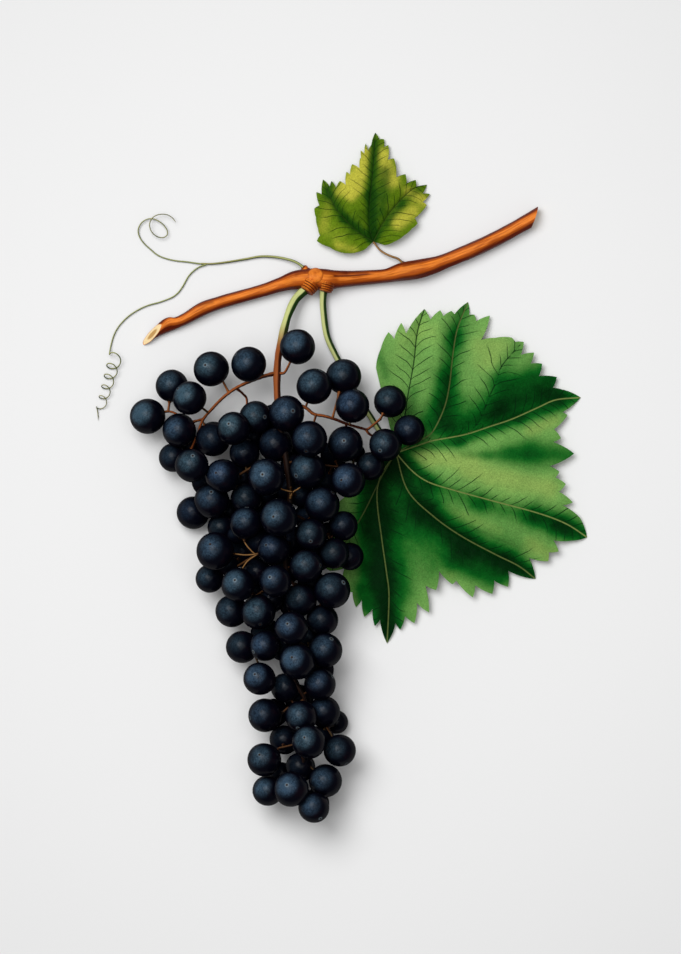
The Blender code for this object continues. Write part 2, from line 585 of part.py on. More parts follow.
def build_collar(collar):
    """A turned collar: a profile with raised rings, swept round its axis, closed and laid along it."""
    foot, end = place(*collar.foot), place(*collar.end)
    length = float(np.linalg.norm(end - foot))
    profile = [(0.0, length), (collar.radius * GRID * 0.9, length)]
    for ridge in range(collar.ridges):
        for step, swell in ((0.15, 1.08), (0.62, 0.96)):
            profile.append((collar.radius * GRID * swell, length * (1 - 0.13 * (ridge + step))))
    profile += [(collar.radius * GRID, 0.0), (0.0, 0.0)]
    mesh = bpy.data.meshes.new("collar")
    mesh.from_pydata([(x, 0.0, z) for x, z in profile], [(i, i + 1) for i in range(len(profile) - 1)], [])
    made = bpy.data.objects.new("collar", mesh)
    bpy.context.scene.collection.objects.link(made)
    screw = made.modifiers.new("turn", "SCREW")
    screw.steps = screw.render_steps = 10
    screw.use_merge_vertices = True
    screw.merge_threshold = 0.01 * MM
    turn = Vector(end - foot).to_track_quat("Z", "Y").to_matrix().to_4x4()
    made.matrix_world = Matrix.Translation(Vector(foot)) @ turn
    return baked(made)


def cut_end(cane, cut_face):
    """Takes the cane's end off along a plane, given by a point of the grid on it and the way it faces."""
    where, facing = cut_face
    way = Vector(facing).normalized()
    middle = Vector(place(*where)) + way * END_CUTTER[2] / 2
    return cut(cane, block(END_CUTTER, middle, way.to_track_quat("Z", "Y").to_matrix()))


def build_cane(look):
    """The woody shaft with its swollen node, collars and bud scar, cut at both ends."""
    line, radii = cane_line(2)
    pieces = [tube("shaft", line, radii, CANE_SIDES)]
    for collar in (BUNCH_COLLAR, LEAF_COLLAR, SMALL_LEAF_COLLAR, TENDRIL_COLLAR):
        pieces.append(build_collar(collar))
    bpy.ops.mesh.primitive_uv_sphere_add(segments=12, ring_count=8, radius=BUD_SCAR_RADIUS * GRID)
    scar = bpy.context.object
    flatten = Matrix.Diagonal((1, 1, BUD_SCAR_FLATNESS, 1))
    scar.data.transform(Matrix.Translation(Vector(place(*BUD_SCAR))) @ flatten)
    pieces.append(scar)
    cane = cut_end(joined("cane", pieces), SLANTING_CUT)
    finish(cut_end(cane, SQUARE_CUT), look, 35)


def bend_of(base, vein, rings):
    """How far a vein stands off the straight line from the base to its tip, at each ring's share of it."""
    line = smooth_line(((base[0], base[1]), *vein), 8)
    length = np.concatenate(([0], np.cumsum(np.linalg.norm(np.diff(line, axis=0), axis=1))))
    on_vein = np.column_stack([np.interp(rings * length[-1], length, column) for column in line.T])
    return on_vein - (line[0] + rings[:, None] * (line[-1] - line[0]))


def leaf_rays(leaf):
    """The blade from above: points by ring and margin point, and each margin point's share of its sector.

    A ray runs from the base to a margin point and bends like the veins on its two sides, by their nearness.
    """
    base = np.array(leaf.base)
    margin = np.array(leaf.outline)
    rings = np.array(leaf.rings)
    tips = [int(np.argmin(np.linalg.norm(margin - vein[-1], axis=1))) for vein in leaf.veins]
    straight = np.zeros((len(rings), 2))
    bends = [straight, *(bend_of(leaf.base, vein, rings) for vein in leaf.veins), straight]
    stops = [0, *tips, len(margin) - 1]
    share = np.zeros(len(margin))
    rays = base + rings[:, None, None] * (margin - base)
    for index, (start, end) in enumerate(zip(stops, stops[1:])):
        way = margin[start:end + 1] - base
        turn = np.unwrap(np.arctan2(way[:, 1], way[:, 0]))
        part = (turn - turn[0]) / (turn[-1] - turn[0])
        share[start:end + 1] = part
        bent = (1 - part)[:, None] * bends[index][:, None] + part[:, None] * bends[index + 1][:, None]
        rays[:, start:end] += bent[:, :-1]
    share[tips] = 0
    return rays, share


def leaf_height(leaf, share, reach, clear):
    """Height of a leaf's blade: pleated up between the veins, domed, and low at its base and at its margin.

    share is the way across from one vein to the next, reach the way out from base to margin, and clear
    is 0 where the bunch lies on the leaf and 1 where the blade is free.
    """
    low = leaf.base_height + (LEAF_EDGE_HEIGHT - leaf.base_height) * reach
    pleat = leaf.pleat_height * np.sin(math.pi * share) ** 0.8 * reach * (1 - 0.55 * reach**2)
    dome = leaf.dome_height * 4 * reach * (1 - reach) * 0.8
    return low + (pleat + dome) * clear


def clear_of_bunch(points, berries):
    """0 under the berries, rising to 1 at FLAT_UNDER_BUNCH steps away from the nearest, at each point."""
    away = np.hypot(points[:, None, 0] - berries[:, 0], points[:, None, 1] - berries[:, 1]) - berries[:, 3]
    part = np.clip(away.min(1) / FLAT_UNDER_BUNCH, 0, 1)
    return part * part * (3 - 2 * part)


def build_leaf(name, leaf, stalk, stalk_radii, look, berries):
    """A lobed, toothed, pleated blade of even thickness, fanned out from its base, joined with its stalk."""
    base = np.array(leaf.base)
    rays, share = leaf_rays(leaf)
    span = np.linalg.norm(rays[-1] - base, axis=1)
    reach = np.array(leaf.rings)[:, None] * span / np.maximum(span, smooth_span(span))
    flat = np.vstack((base[None], rays.reshape(-1, 2)))
    shares = np.concatenate(([0], np.tile(share, len(leaf.rings))))
    height = leaf_height(leaf, shares, np.concatenate(([0], reach.ravel())), clear_of_bunch(flat, berries))
    count = len(share)
    faces = [(0, 2 + i, 1 + i) for i in range(count - 1)]
    for ring in range(len(leaf.rings) - 1):
        inner, outer = 1 + ring * count, 1 + (ring + 1) * count
        for i in range(count - 1):
            faces.append((inner + i, inner + i + 1, outer + i))
            faces.append((inner + i + 1, outer + i + 1, outer + i))
    points = places(np.column_stack((flat, height)))
    blade = mesh_object("blade", points, faces)
    thick = blade.modifiers.new("thick", "SOLIDIFY")
    thick.thickness = LEAF_THICKNESS
    thick.offset = 0.0
    blade = baked(blade)
    route = places(smooth_line(stalk, 2))
    petiole = tube("stalk", route, (stalk_radii[0] * GRID, stalk_radii[1] * GRID), 6)
    finish(keep_outer_shell(joined(name, [blade, petiole], "MANIFOLD")), look, 30)


def smooth_span(span):
    """The tooth tips' distance from the base at each margin point: the greatest of its neighbours."""
    padded = np.pad(span, 2, mode="edge")
    return np.max([padded[i:i + len(span)] for i in range(5)], axis=0)


def coil_line(coil):
    """Points of the coil: circles tilted over along their axis, shrinking to the end, lying on the table."""
    count = coil.turns * coil.points_a_turn
    part = np.arange(count + 1) / count
    axis = np.array(coil.end) - np.array(coil.start)
    axis /= np.linalg.norm(axis)
    across = np.array((-axis[1], axis[0]))
    radius = coil.start_radius + (coil.end_radius - coil.start_radius) * part
    angle = 2 * math.pi * coil.turns * part
    middle = np.array(coil.start) + part[:, None] * (np.array(coil.end) - np.array(coil.start))
    flat = (middle + (radius * np.cos(angle))[:, None] * across
            - (radius * np.sin(angle) * math.cos(coil.tilt))[:, None] * axis)
    lift = radius * math.sin(coil.tilt) * (1 + np.sin(angle)) + 2.2
    return np.column_stack((flat, lift))


def build_tendril(look):
    """The green tendril: a stem that forks, one branch curled round, the other ending in a spring."""
    route = places(smooth_line(TENDRIL_STEM, 2))
    stem = tube("stem", route, (TENDRIL_RADII[0] * GRID, TENDRIL_RADII[1] * GRID), 6)
    upper = tube("upper", places(UPPER_BRANCH), (BRANCH_RADII[0] * GRID, BRANCH_RADII[1] * GRID), 4)
    lower_route = np.vstack((LOWER_BRANCH, coil_line(COIL), COIL_TIP))
    lower = tube("lower", places(lower_route), (BRANCH_RADII[0] * GRID, BRANCH_RADII[1] * GRID), 4)
    finish(joined("tendril", [stem, upper, lower]), look, 50)


def main():
    """Clears the scene and builds the five pieces in the plant's collection."""
    for old in list(bpy.data.objects):
        bpy.data.objects.remove(old)
    bpy.context.scene.collection.children.link(bpy.data.collections.new(PLANT))
    berries = berry_balls()
    build_bunch(material("grape_skin", (0.012, 0.018, 0.035), 0.45), berries)
    build_cane(material("cane_bark", (0.42, 0.13, 0.03), 0.6))
    green = material("leaf_green", (0.05, 0.17, 0.03), 0.55)
    build_leaf("large_leaf", LARGE_LEAF, LARGE_STALK, LARGE_STALK_RADII, green, berries)
    young = material("young_leaf_green", (0.16, 0.24, 0.04), 0.55)
    build_leaf("small_leaf", SMALL_LEAF, SMALL_STALK, SMALL_STALK_RADII, young, berries)
    build_tendril(material("tendril_green", (0.16, 0.22, 0.05), 0.5))


main()
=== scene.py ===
"""Looks of a bunch of black grapes on a cut piece of cane, with two leaves and a forked tendril.

Places are read on the square grid that is laid over the plant, as (across, down) from the grid's top
left corner, and heights and radii that stand beside a place are in steps of that grid too.
"""

import logging
import math
import random
from dataclasses import dataclass, field
from enum import Enum

import bpy
import numpy as np
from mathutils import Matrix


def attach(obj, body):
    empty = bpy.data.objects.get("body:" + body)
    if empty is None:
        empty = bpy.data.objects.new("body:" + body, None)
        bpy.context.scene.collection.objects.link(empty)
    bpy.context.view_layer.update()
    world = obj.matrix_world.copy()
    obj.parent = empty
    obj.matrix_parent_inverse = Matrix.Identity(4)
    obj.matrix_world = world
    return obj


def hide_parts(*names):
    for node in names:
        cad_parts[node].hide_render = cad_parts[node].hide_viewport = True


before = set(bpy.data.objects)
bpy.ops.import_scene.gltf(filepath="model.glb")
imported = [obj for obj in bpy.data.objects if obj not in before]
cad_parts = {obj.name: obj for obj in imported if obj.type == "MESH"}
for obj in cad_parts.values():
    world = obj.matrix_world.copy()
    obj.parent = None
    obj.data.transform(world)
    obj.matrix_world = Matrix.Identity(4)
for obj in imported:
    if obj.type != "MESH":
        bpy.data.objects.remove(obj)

MM = 0.001
LOG = logging.getLogger("grape_bunch")
Array = np.ndarray
Socket = bpy.types.NodeSocket
Rows = tuple[tuple[float, ...], ...]
Pair = tuple[float, float]
Place = tuple[float, float, float]
Colour = tuple[float, float, float]
# A noise's scale, detail and roughness.
Noise = tuple[float, float, float]


@dataclass(frozen=True)
class Grid:
    """The square grid over the plant: its step in metres, and where the frame's origin is on it."""

    step: float = 0.45 * MM
    across: float = 341.51
    down: float = 477.32

    def points(self, rows: Array | Rows) -> Array:
        """Turns rows of (across, down, height) into points.

        Args:
            rows: Places on the grid with their heights in steps.

        Returns:
            The points in metres, one to a row.
        """
        table = np.asarray(rows, float)
        return (table - (self.across, self.down, 0.0)) * (self.step, -self.step, self.step)


GRID = Grid()
# The way that the light comes from, for the painted shade on the stems,
# and the way that a berry's lit side faces, for the painted light on its bloom.
LIGHT_WAY = np.array((-0.62, 0.30, 0.72))
BLOOM_LIGHT_WAY = np.array((-0.42, 0.34, 0.85))
# A stem's painted shade starts, and is full, where minus its side's part along the light's way reaches these.
SIDE_SHADE_TURN = (-0.78, -0.12)


class Spin(Enum):
    """Which way the faces of a grid of points are wound."""

    OUTWARD = 1
    INWARD = -1


def smooth_line(rows: Array | Rows, count: int) -> Array:
    """Evenly spaced points on a Catmull-Rom curve, the cubic through each row along its neighbours' chord.

    Args:
        rows: The rows that the curve passes through, of any width.
        count: How many points it gives.

    Returns:
        The points, evenly spaced by length.
    """
    table = np.asarray(rows, float)
    ends = np.vstack((2 * table[0] - table[1], table, 2 * table[-1] - table[-2]))
    where = np.linspace(0, len(table) - 1, 24 * len(table))
    start = np.minimum(where.astype(int), len(table) - 2)
    t = (where - start)[:, None]
    a, b, c, d = (ends[start + shift] for shift in range(4))
    fine = 0.5 * (2 * b + (c - a) * t + (2 * a - 5 * b + 4 * c - d) * t**2 + (3 * b - a - 3 * c + d) * t**3)
    steps = np.linalg.norm(np.diff(fine[:, :3], axis=0), axis=1)
    length = np.concatenate(([0.0], np.cumsum(steps)))
    even = np.linspace(0, length[-1], count)
    return np.column_stack([np.interp(even, length, column) for column in fine.T])


def unit(ways: Array) -> Array:
    """Vectors of length one along the given ones."""
    return ways / np.maximum(np.linalg.norm(ways, axis=-1, keepdims=True), 1e-12)


def ease(value: Array, low: float, high: float) -> Array:
    """Smooth step: 0 up to low, 1 from high, and 3p² - 2p³ of the share p between them."""
    part = np.clip((value - low) / (high - low), 0, 1)
    return part * part * (3 - 2 * part)


def bell(value: Array, middle: float, width: float) -> Array:
    """Bell curve: exp(-p²), p being the way from the middle in widths."""
    return np.exp(-(((value - middle) / width) ** 2))


def taper(ends: Pair, share: Array) -> Array:
    """A value that goes from the first end to the second as the share goes from 0 to 1."""
    return ends[0] + (ends[1] - ends[0]) * share


def turns(count: int) -> Array:
    """Angles that part a full turn evenly."""
    return np.linspace(0, 2 * math.pi, count, endpoint=False)


def painted(flat: Array, strokes: Rows) -> Array:
    """Soft strokes laid over each other: each adds its strength times exp(-d²/w²) of what is left, d being
    the way to its line and w its width.

    Args:
        flat: Places on the grid.
        strokes: Rows of a line's two ends, its width and its strength.

    Returns:
        A share for each place.
    """
    left = np.ones(len(flat))
    for x0, y0, x1, y1, width, strength in strokes:
        chord = np.array((x1 - x0, y1 - y0), float)
        way = flat - (x0, y0)
        on = np.clip(way @ chord / (chord @ chord), 0, 1)
        gap = np.linalg.norm(way - on[:, None] * chord, axis=1)
        left *= 1 - strength * bell(gap, 0, width)
    return 1 - left

@dataclass
class Surface:
    """Points, faces and point fields of a surface that isn't an object yet."""

    points: Array
    quads: Array
    tris: Array
    fields: dict[str, Array] = field(default_factory=dict)

    @staticmethod
    def joined(parts: list["Surface"]) -> "Surface":
        """Puts several surfaces with the same fields in one.

        Args:
            parts: The surfaces.

        Returns:
            All their points, faces and fields, in their order.
        """
        starts = np.cumsum([0] + [len(part.points) for part in parts[:-1]])
        return Surface(
            np.vstack([part.points for part in parts]),
            np.vstack([part.quads + start for part, start in zip(parts, starts)]),
            np.vstack([part.tris + start for part, start in zip(parts, starts)]),
            {name: np.concatenate([part.fields[name] for part in parts]) for name in parts[0].fields},
        )

    def to_piece(self, name: str, finish: bpy.types.Material, slot: str, *nodes: str) -> bpy.types.Object:
        """Makes the surface an object that rides on the plant.

        Args:
            name: The object's name.
            finish: Its material.
            slot: The record's material slot that it stands for; not used.
            nodes: The nodes that it stands for.

        Returns:
            The object, at the origin.
        """
        mesh = bpy.data.meshes.new(name)
        corners = np.concatenate((self.quads.ravel(), self.tris.ravel())).astype(np.int32)
        sizes = np.concatenate((np.full(len(self.quads), 4), np.full(len(self.tris), 3)))
        mesh.vertices.add(len(self.points))
        mesh.vertices.foreach_set("co", self.points.astype(np.float32).ravel())
        mesh.loops.add(len(corners))
        mesh.loops.foreach_set("vertex_index", corners)
        mesh.polygons.add(len(sizes))
        mesh.polygons.foreach_set("loop_start", (np.cumsum(sizes) - sizes).astype(np.int32))
        mesh.update(calc_edges=True)
        for label, values in self.fields.items():
            kind, key = ("FLOAT", "value") if values.ndim == 1 else ("FLOAT_VECTOR", "vector")
            layer = mesh.attributes.new(label, kind, "POINT")
            layer.data.foreach_set(key, values.astype(np.float32).ravel())
        mesh.shade_smooth()
        mesh.set_sharp_from_angle(angle=math.radians(50))
        mesh.materials.append(finish)
        piece = bpy.data.objects.new(name, mesh)
        bpy.context.scene.collection.objects.link(piece)
        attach(piece, "root")
        if nodes:
            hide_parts(*nodes)
        LOG.info("%s: %d faces", name, len(sizes))
        return piece


def grid_quads(rings: int, sides: int, closed: bool) -> Array:
    """Quads between the rings of a grid of points, each ring numbered on from the one before.

    Args:
        rings: How many rings it has.
        sides: Points in a ring.
        closed: Whether a ring's last point joins its first.

    Returns:
        The quads, their corners numbered from 0.
    """
    ring, side = np.meshgrid(np.arange(rings - 1), np.arange(sides if closed else sides - 1), indexing="ij")
    after = (side + 1) % sides
    low, high = ring * sides, (ring + 1) * sides
    return np.stack((low + side, low + after, high + after, high + side), axis=-1).reshape(-1, 4)


def tube_faces(rings: int, sides: int) -> tuple[Array, Array]:
    """Faces of a closed tube whose points are a pole, rings of sides points, and a second pole.

    Args:
        rings: How many rings it has.
        sides: Points in a ring.

    Returns:
        The quads between rings, and the triangles round the two poles, facing outwards.
    """
    turn = np.arange(sides)
    following = (turn + 1) % sides
    first, last, end = 1, 1 + (rings - 1) * sides, 1 + rings * sides
    foot = np.stack((np.zeros(sides, int), first + following, first + turn), axis=-1)
    tip = np.stack((np.full(sides, end), last + turn, last + following), axis=-1)
    return 1 + grid_quads(rings, sides, closed=True), np.vstack((foot, tip))


def cross_ways(path: Array) -> tuple[Array, Array, Array]:
    """Unit directions along and across a path, turned from the axis that the path least follows.

    Args:
        path: Its points.

    Returns:
        The directions along it, and two across it and each other.
    """
    along = unit(np.gradient(path, axis=0))
    steady = np.eye(3)[np.argmin(np.abs(along).max(axis=0))]
    aside = unit(np.cross(steady, along))
    return along, aside, np.cross(along, aside)


def capped(values: Array) -> Array:
    """The values of a tube's rings with those of its two poles, which take the first's and the last's."""
    return np.concatenate((values[:1], values, values[-1:]))


def tube(path: Array, radii: Array, sides: int, **fields: float | Array) -> Surface:
    """A closed tube: point (i, j) is path i plus radius i times (cos a, sin a) across it, a = 2 pi j / sides.

    Args:
        path: Its middle line in metres.
        radii: Its radius at each point, or at each point and side.
        sides: How many points a ring has.
        fields: Values for its points, one for all or one for each ring.

    Returns:
        The tube, with the fields grain, millimetres round and along it, and side_shade, painted shade: 0 on
        its lit upper side and 1 on the side away from the light.
    """
    rings = len(path)
    _, aside, across = cross_ways(path)
    angle = turns(sides)
    radii = np.broadcast_to(radii.reshape(rings, -1), (rings, sides))
    rim = np.cos(angle)[None, :, None] * aside[:, None] + np.sin(angle)[None, :, None] * across[:, None]
    points = path[:, None] + radii[..., None] * rim
    length = np.concatenate(([0.0], np.cumsum(np.linalg.norm(np.diff(path, axis=0), axis=1))))
    girth = radii.mean() / MM
    grain = np.stack((
        np.broadcast_to(girth * np.cos(angle), (rings, sides)),
        np.broadcast_to(girth * np.sin(angle), (rings, sides)),
        np.broadcast_to(length[:, None] / MM, (rings, sides)),
    ), axis=-1).reshape(-1, 3)
    quads, tris = tube_faces(rings, sides)
    # Painted shade on each tube's side away from the light.
    own = {"grain": capped(grain), "side_shade": capped(ease(-(rim @ LIGHT_WAY).ravel(), *SIDE_SHADE_TURN))}
    for name, value in fields.items():
        own[name] = capped(np.repeat(np.broadcast_to(value, (rings,)), sides))
    return Surface(np.vstack((path[:1], points.reshape(-1, 3), path[-1:])), quads, tris, own)


@dataclass(frozen=True)
class Nodes:
    """Lays out the nodes of one tree: a material's, or a node group's."""

    tree: bpy.types.NodeTree

    def add(self, kind: str, **settings: object) -> bpy.types.Node:
        """Adds a node.

        Args:
            kind: Its kind, by the name that bpy has for it.
            settings: Its own settings.

        Returns:
            The node.
        """
        node = self.tree.nodes.new(kind)
        for name, value in settings.items():
            setattr(node, name, value)
        return node

    def feed(self, socket: Socket, value: object) -> None:
        """Links a socket to another, or sets its plain value.

        Args:
            socket: The input.
            value: The socket that it is linked to, or its value.
        """
        if isinstance(value, Socket):
            self.tree.links.new(value, socket)
        elif isinstance(value, tuple) and len(value) == 3 and socket.type == "RGBA":
            socket.default_value = (*value, 1.0)
        else:
            socket.default_value = value

    def wired(self, kind: str, gives: int | str, feeds: dict[int | str, object],
              **settings: object) -> Socket:
        """Adds a node and feeds its inputs.

        Args:
            kind: Its kind, by the name that bpy has for it.
            gives: The wanted output, by its number or name.
            feeds: What each input gets.
            settings: Its own settings.

        Returns:
            The wanted output.
        """
        node = self.add(kind, **settings)
        for key, value in feeds.items():
            self.feed(node.inputs[key], value)
        return node.outputs[gives]

    def effect(self, tree: bpy.types.NodeTree, **feeds: object) -> bpy.types.NodeOutputs:
        """Uses a node group.

        Args:
            tree: The group.
            feeds: What each of its inputs gets.

        Returns:
            Its outputs, by name.
        """
        node = self.add("ShaderNodeGroup", node_tree=tree)
        for label, value in feeds.items():
            self.feed(node.inputs[label], value)
        return node.outputs

    def field(self, name: str, vector: bool = False) -> Socket:
        """The mesh's own field of a name, as a number or a vector."""
        return self.wired("ShaderNodeAttribute", "Vector" if vector else "Fac", {}, attribute_name=name)

    def here(self) -> Socket:
        """The point on the object, in metres."""
        return self.wired("ShaderNodeTexCoord", "Object", {})

    def sum(self, operation: str, first: object, second: object = 0.0) -> Socket:
        """One sum of numbers, by the Math node's name for it."""
        return self.wired("ShaderNodeMath", 0, {0: first, 1: second}, operation=operation)

    def plus(self, first: object, second: object) -> Socket:
        """Two numbers added."""
        return self.sum("ADD", first, second)

    def times(self, first: object, second: object) -> Socket:
        """Two numbers multiplied."""
        return self.sum("MULTIPLY", first, second)

    def vectors(self, operation: str, first: object, second: object) -> Socket:
        """One sum of vectors, by the Vector Math node's name for it."""
        return self.wired("ShaderNodeVectorMath", 0, {0: first, 1: second}, operation=operation)

    def ease(self, value: object, low: float, high: float) -> Socket:
        """Smooth step of a value.

        Args:
            value: The value.
            low: Where it starts.
            high: Where it ends, below low for a step that falls.

        Returns:
            A share from 0 to 1.
        """
        ends = (high, low, 1.0, 0.0) if low > high else (low, high, 0.0, 1.0)
        feeds = dict(zip(("From Min", "From Max", "To Min", "To Max"), ends))
        return self.wired("ShaderNodeMapRange", "Result", {"Value": value, **feeds},
                          interpolation_type="SMOOTHSTEP")

    def spread(self, value: object, low: float, high: float) -> Socket:
        """low plus the value's share of the way to high."""
        return self.wired("ShaderNodeMapRange", "Result", {"Value": value, "To Min": low, "To Max": high})

    def noise(self, where: object, scale: float, detail: float = 3.0,
              rough: float = 0.5) -> Socket:
        """Cloudy noise about 0.5."""
        feeds = {"Vector": where, "Scale": scale, "Detail": detail, "Roughness": rough}
        return self.wired("ShaderNodeTexNoise", "Fac", feeds)

    def cells(self, where: object, scale: float, feature: str = "F1") -> Socket:
        """Distance to the nearest of scattered points, or to the nearest wall between their cells."""
        feeds = {"Vector": where, "Scale": scale}
        return self.wired("ShaderNodeTexVoronoi", "Distance", feeds, feature=feature)

    def chance(self, value: object) -> Socket:
        """A fixed random number for each value."""
        return self.wired("ShaderNodeTexWhiteNoise", "Value", {"W": value}, noise_dimensions="1D")

    def mix(self, share: object, first: object, second: object) -> Socket:
        """A colour between two, by the share of the second."""
        return self.wired("ShaderNodeMix", 2, {0: share, 6: first, 7: second}, data_type="RGBA")

    def shaded(self, colour: object, value: object) -> Socket:
        """A colour made lighter or darker by a factor."""
        return self.wired("ShaderNodeHueSaturation", "Color", {"Color": colour, "Value": value})

    def bump(self, height: object, distance: float, strength: float = 1.0) -> Socket:
        """A normal for fine relief of a height in metres at full value."""
        feeds = {"Height": height, "Distance": distance, "Strength": strength}
        return self.wired("ShaderNodeBump", "Normal", feeds)


def group(name: str, takes: tuple[tuple[str, str], ...],
          gives: tuple[str, ...]) -> tuple[Nodes, dict, dict]:
    """Starts a node group.

    Args:
        name: Its name.
        takes: Its inputs, each with the kind of its socket.
        gives: Its outputs, which are all numbers.

    Returns:
        Its node helper, its input sockets inside, and its output sockets inside.
    """
    tree = bpy.data.node_groups.new(name, "ShaderNodeTree")
    for label, kind in takes:
        tree.interface.new_socket(label, in_out="INPUT", socket_type=f"NodeSocket{kind}")
    for label in gives:
        tree.interface.new_socket(label, in_out="OUTPUT", socket_type="NodeSocketFloat")
    nodes = Nodes(tree)
    return nodes, nodes.add("NodeGroupInput").outputs, nodes.add("NodeGroupOutput").inputs


def stem_streaks() -> bpy.types.NodeTree:
    """The group that streaks a stem: noise drawn out along its grain, broad for Streak and fine for Fibre.

    Returns:
        The group, made once.
    """
    name = "stem_streaks"
    if name in bpy.data.node_groups:
        return bpy.data.node_groups[name]
    nodes, takes, gives = group(name, (("Grain", "Vector"),), ("Streak", "Fibre"))
    long_way = nodes.vectors("MULTIPLY", takes["Grain"], (1.0, 1.0, 0.07))
    nodes.feed(gives["Streak"], nodes.noise(long_way, 1.6, 4.0, 0.6))
    nodes.feed(gives["Fibre"], nodes.noise(long_way, 5.0, 3.0, 0.6))
    return nodes.tree


def leaf_veins() -> bpy.types.NodeTree:
    """The group of a leaf's veins: main and side veins as masks, and the fine net between them.

    Side veins leave the main one forwards and bend outwards: each is where the way along, less 1.7 times
    the 0.66th power of the way off, is a whole number of spacings. A random length fades each one out.

    Returns:
        The group, made once.
    """
    name = "leaf_veins"
    if name in bpy.data.node_groups:
        return bpy.data.node_groups[name]
    takes = tuple((label, "Float") for label in ("Off", "Along", "Vein", "Spacing", "Width"))
    nodes, ins, outs = group(name, takes, ("Main", "Side", "Net"))
    reach = nodes.times(nodes.sum("POWER", ins["Off"], 0.66), 1.7)
    sway = nodes.spread(nodes.noise(nodes.here(), 60.0, 2.0), -3.0, 3.0)
    start = nodes.sum("SUBTRACT", nodes.plus(ins["Along"], sway), reach)
    count = nodes.sum("DIVIDE", start, ins["Spacing"])
    which = nodes.sum("ROUND", count)
    gap = nodes.times(nodes.sum("ABSOLUTE", nodes.sum("SUBTRACT", count, which)), ins["Spacing"])
    luck = nodes.chance(nodes.plus(which, nodes.times(ins["Vein"], 37.0)))
    fade = nodes.ease(nodes.sum("DIVIDE", ins["Off"], nodes.spread(luck, 3.5, 14.0)), 1.0, 0.55)
    line = nodes.ease(nodes.sum("DIVIDE", gap, ins["Width"]), 1.0, 0.35)
    nodes.feed(outs["Main"], nodes.ease(nodes.sum("DIVIDE", ins["Off"], ins["Width"]), 1.30, 0.6))
    nodes.feed(outs["Side"], nodes.times(line, fade))
    net = nodes.cells(nodes.vectors("MULTIPLY", nodes.here(), (1.0, 1.0, 0.0)), 420.0, "DISTANCE_TO_EDGE")
    nodes.feed(outs["Net"], nodes.ease(net, 0.10, 0.02))
    return nodes.tree


@dataclass(frozen=True)
class Finish:
    """A finish that builds its own Principled material."""

    name: str
    roughness: float = 0.5
    specular: float = 0.0

    def start(self) -> tuple[bpy.types.Material, Nodes, bpy.types.Node]:
        """Starts the material.

        Returns:
            The material with its roughness and its gloss set, its node helper and its shader.
        """
        made = bpy.data.materials.new(self.name)
        made.use_nodes = True
        shader = made.node_tree.nodes["Principled BSDF"]
        shader.inputs["Roughness"].default_value = self.roughness
        shader.inputs["Specular IOR Level"].default_value = self.specular
        return made, Nodes(made.node_tree), shader


@dataclass(frozen=True)
class GrapeSkin(Finish):
    """Blue-black skin under a grey-blue bloom, with pale dots and a corky scar at the tip.

    Clouds and wiped patches thin the bloom and fine grains break it up. Each is a noise with a scale, a
    detail and a roughness, and a cover that it gives from its lowest value to its highest.
    """

    roughness: float = 0.42
    skin: Colour = (0.0012, 0.0014, 0.0042)
    ruddy: Colour = (0.0040, 0.0016, 0.0042)
    bloom: Colour = (0.040, 0.078, 0.100)
    blue_bloom: Colour = (0.028, 0.053, 0.098)
    cork: Colour = (0.020, 0.011, 0.008)
    ring: Colour = (0.20, 0.26, 0.29)
    gloss: float = 0.13
    gloss_roughness: float = 0.21
    clouds: Noise = (1.7, 4.0, 0.6)
    cloud_cover: Pair = (-0.15, 2.15)
    ruddy_from: Pair = (0.5, 0.75)
    wiped: Noise = (5.0, 3.0, 0.65)
    wiped_cover: Pair = (0.20, 1.75)
    grains: Noise = (11.0, 3.0, 0.8)
    grain_cover: Pair = (-0.7, 2.7)
    dot_scale: float = 13.0
    dot_edge: Pair = (0.13, 0.05)
    ring_edges: tuple[Pair, Pair] = ((0.17, 0.09), (0.05, 0.08))
    scar_edge: Pair = (0.075, 0.05)
    dusty_roughness: Pair = (0.34, 0.62)
    relief_height: float = 0.06 * MM

    def material(self) -> bpy.types.Material:
        """Builds the material from the fields skin, berry, bloom and tip.

        Returns:
            The material.
        """
        made, nodes, shader = self.start()
        shader.inputs["Coat Weight"].default_value = self.gloss
        shader.inputs["Coat Roughness"].default_value = self.gloss_roughness
        berry = nodes.field("berry")
        own = nodes.vectors("ADD", nodes.field("skin", vector=True), berry)
        cloud = nodes.noise(own, *self.clouds)
        grains = nodes.noise(own, *self.grains)
        dots = nodes.ease(nodes.cells(own, self.dot_scale), *self.dot_edge)
        wiped = nodes.spread(nodes.noise(own, *self.wiped), *self.wiped_cover)
        patch = nodes.times(nodes.spread(cloud, *self.cloud_cover), wiped)
        # The field bloom: real bloom, with painted light on lit sides and painted shade at rims and deeper
        # berries.
        cover = nodes.times(nodes.times(nodes.field("bloom"), patch), nodes.spread(grains, *self.grain_cover))
        dusty = nodes.mix(nodes.chance(berry), self.bloom, self.blue_bloom)
        under = nodes.mix(nodes.ease(cloud, *self.ruddy_from), self.skin, self.ruddy)
        colour = nodes.mix(nodes.sum("MINIMUM", cover, 1.0), under, dusty)
        colour = nodes.mix(nodes.times(dots, nodes.times(cover, 0.75)), colour, self.ring)
        tip = nodes.field("tip")
        outer, inner = (nodes.ease(tip, *edge) for edge in self.ring_edges)
        second_chance = nodes.chance(nodes.plus(berry, 3.7))
        colour = nodes.mix(nodes.times(nodes.times(outer, inner), nodes.spread(second_chance, 0.0, 0.45)),
                           colour, self.ring)
        colour = nodes.mix(nodes.ease(tip, *self.scar_edge), colour, self.cork)
        nodes.feed(shader.inputs["Base Color"], colour)
        nodes.feed(shader.inputs["Roughness"], nodes.spread(cover, *self.dusty_roughness))
        relief = nodes.plus(nodes.times(grains, 0.35), nodes.times(dots, 0.6))
        nodes.feed(shader.inputs["Normal"], nodes.bump(relief, self.relief_height, 0.5))
        return made


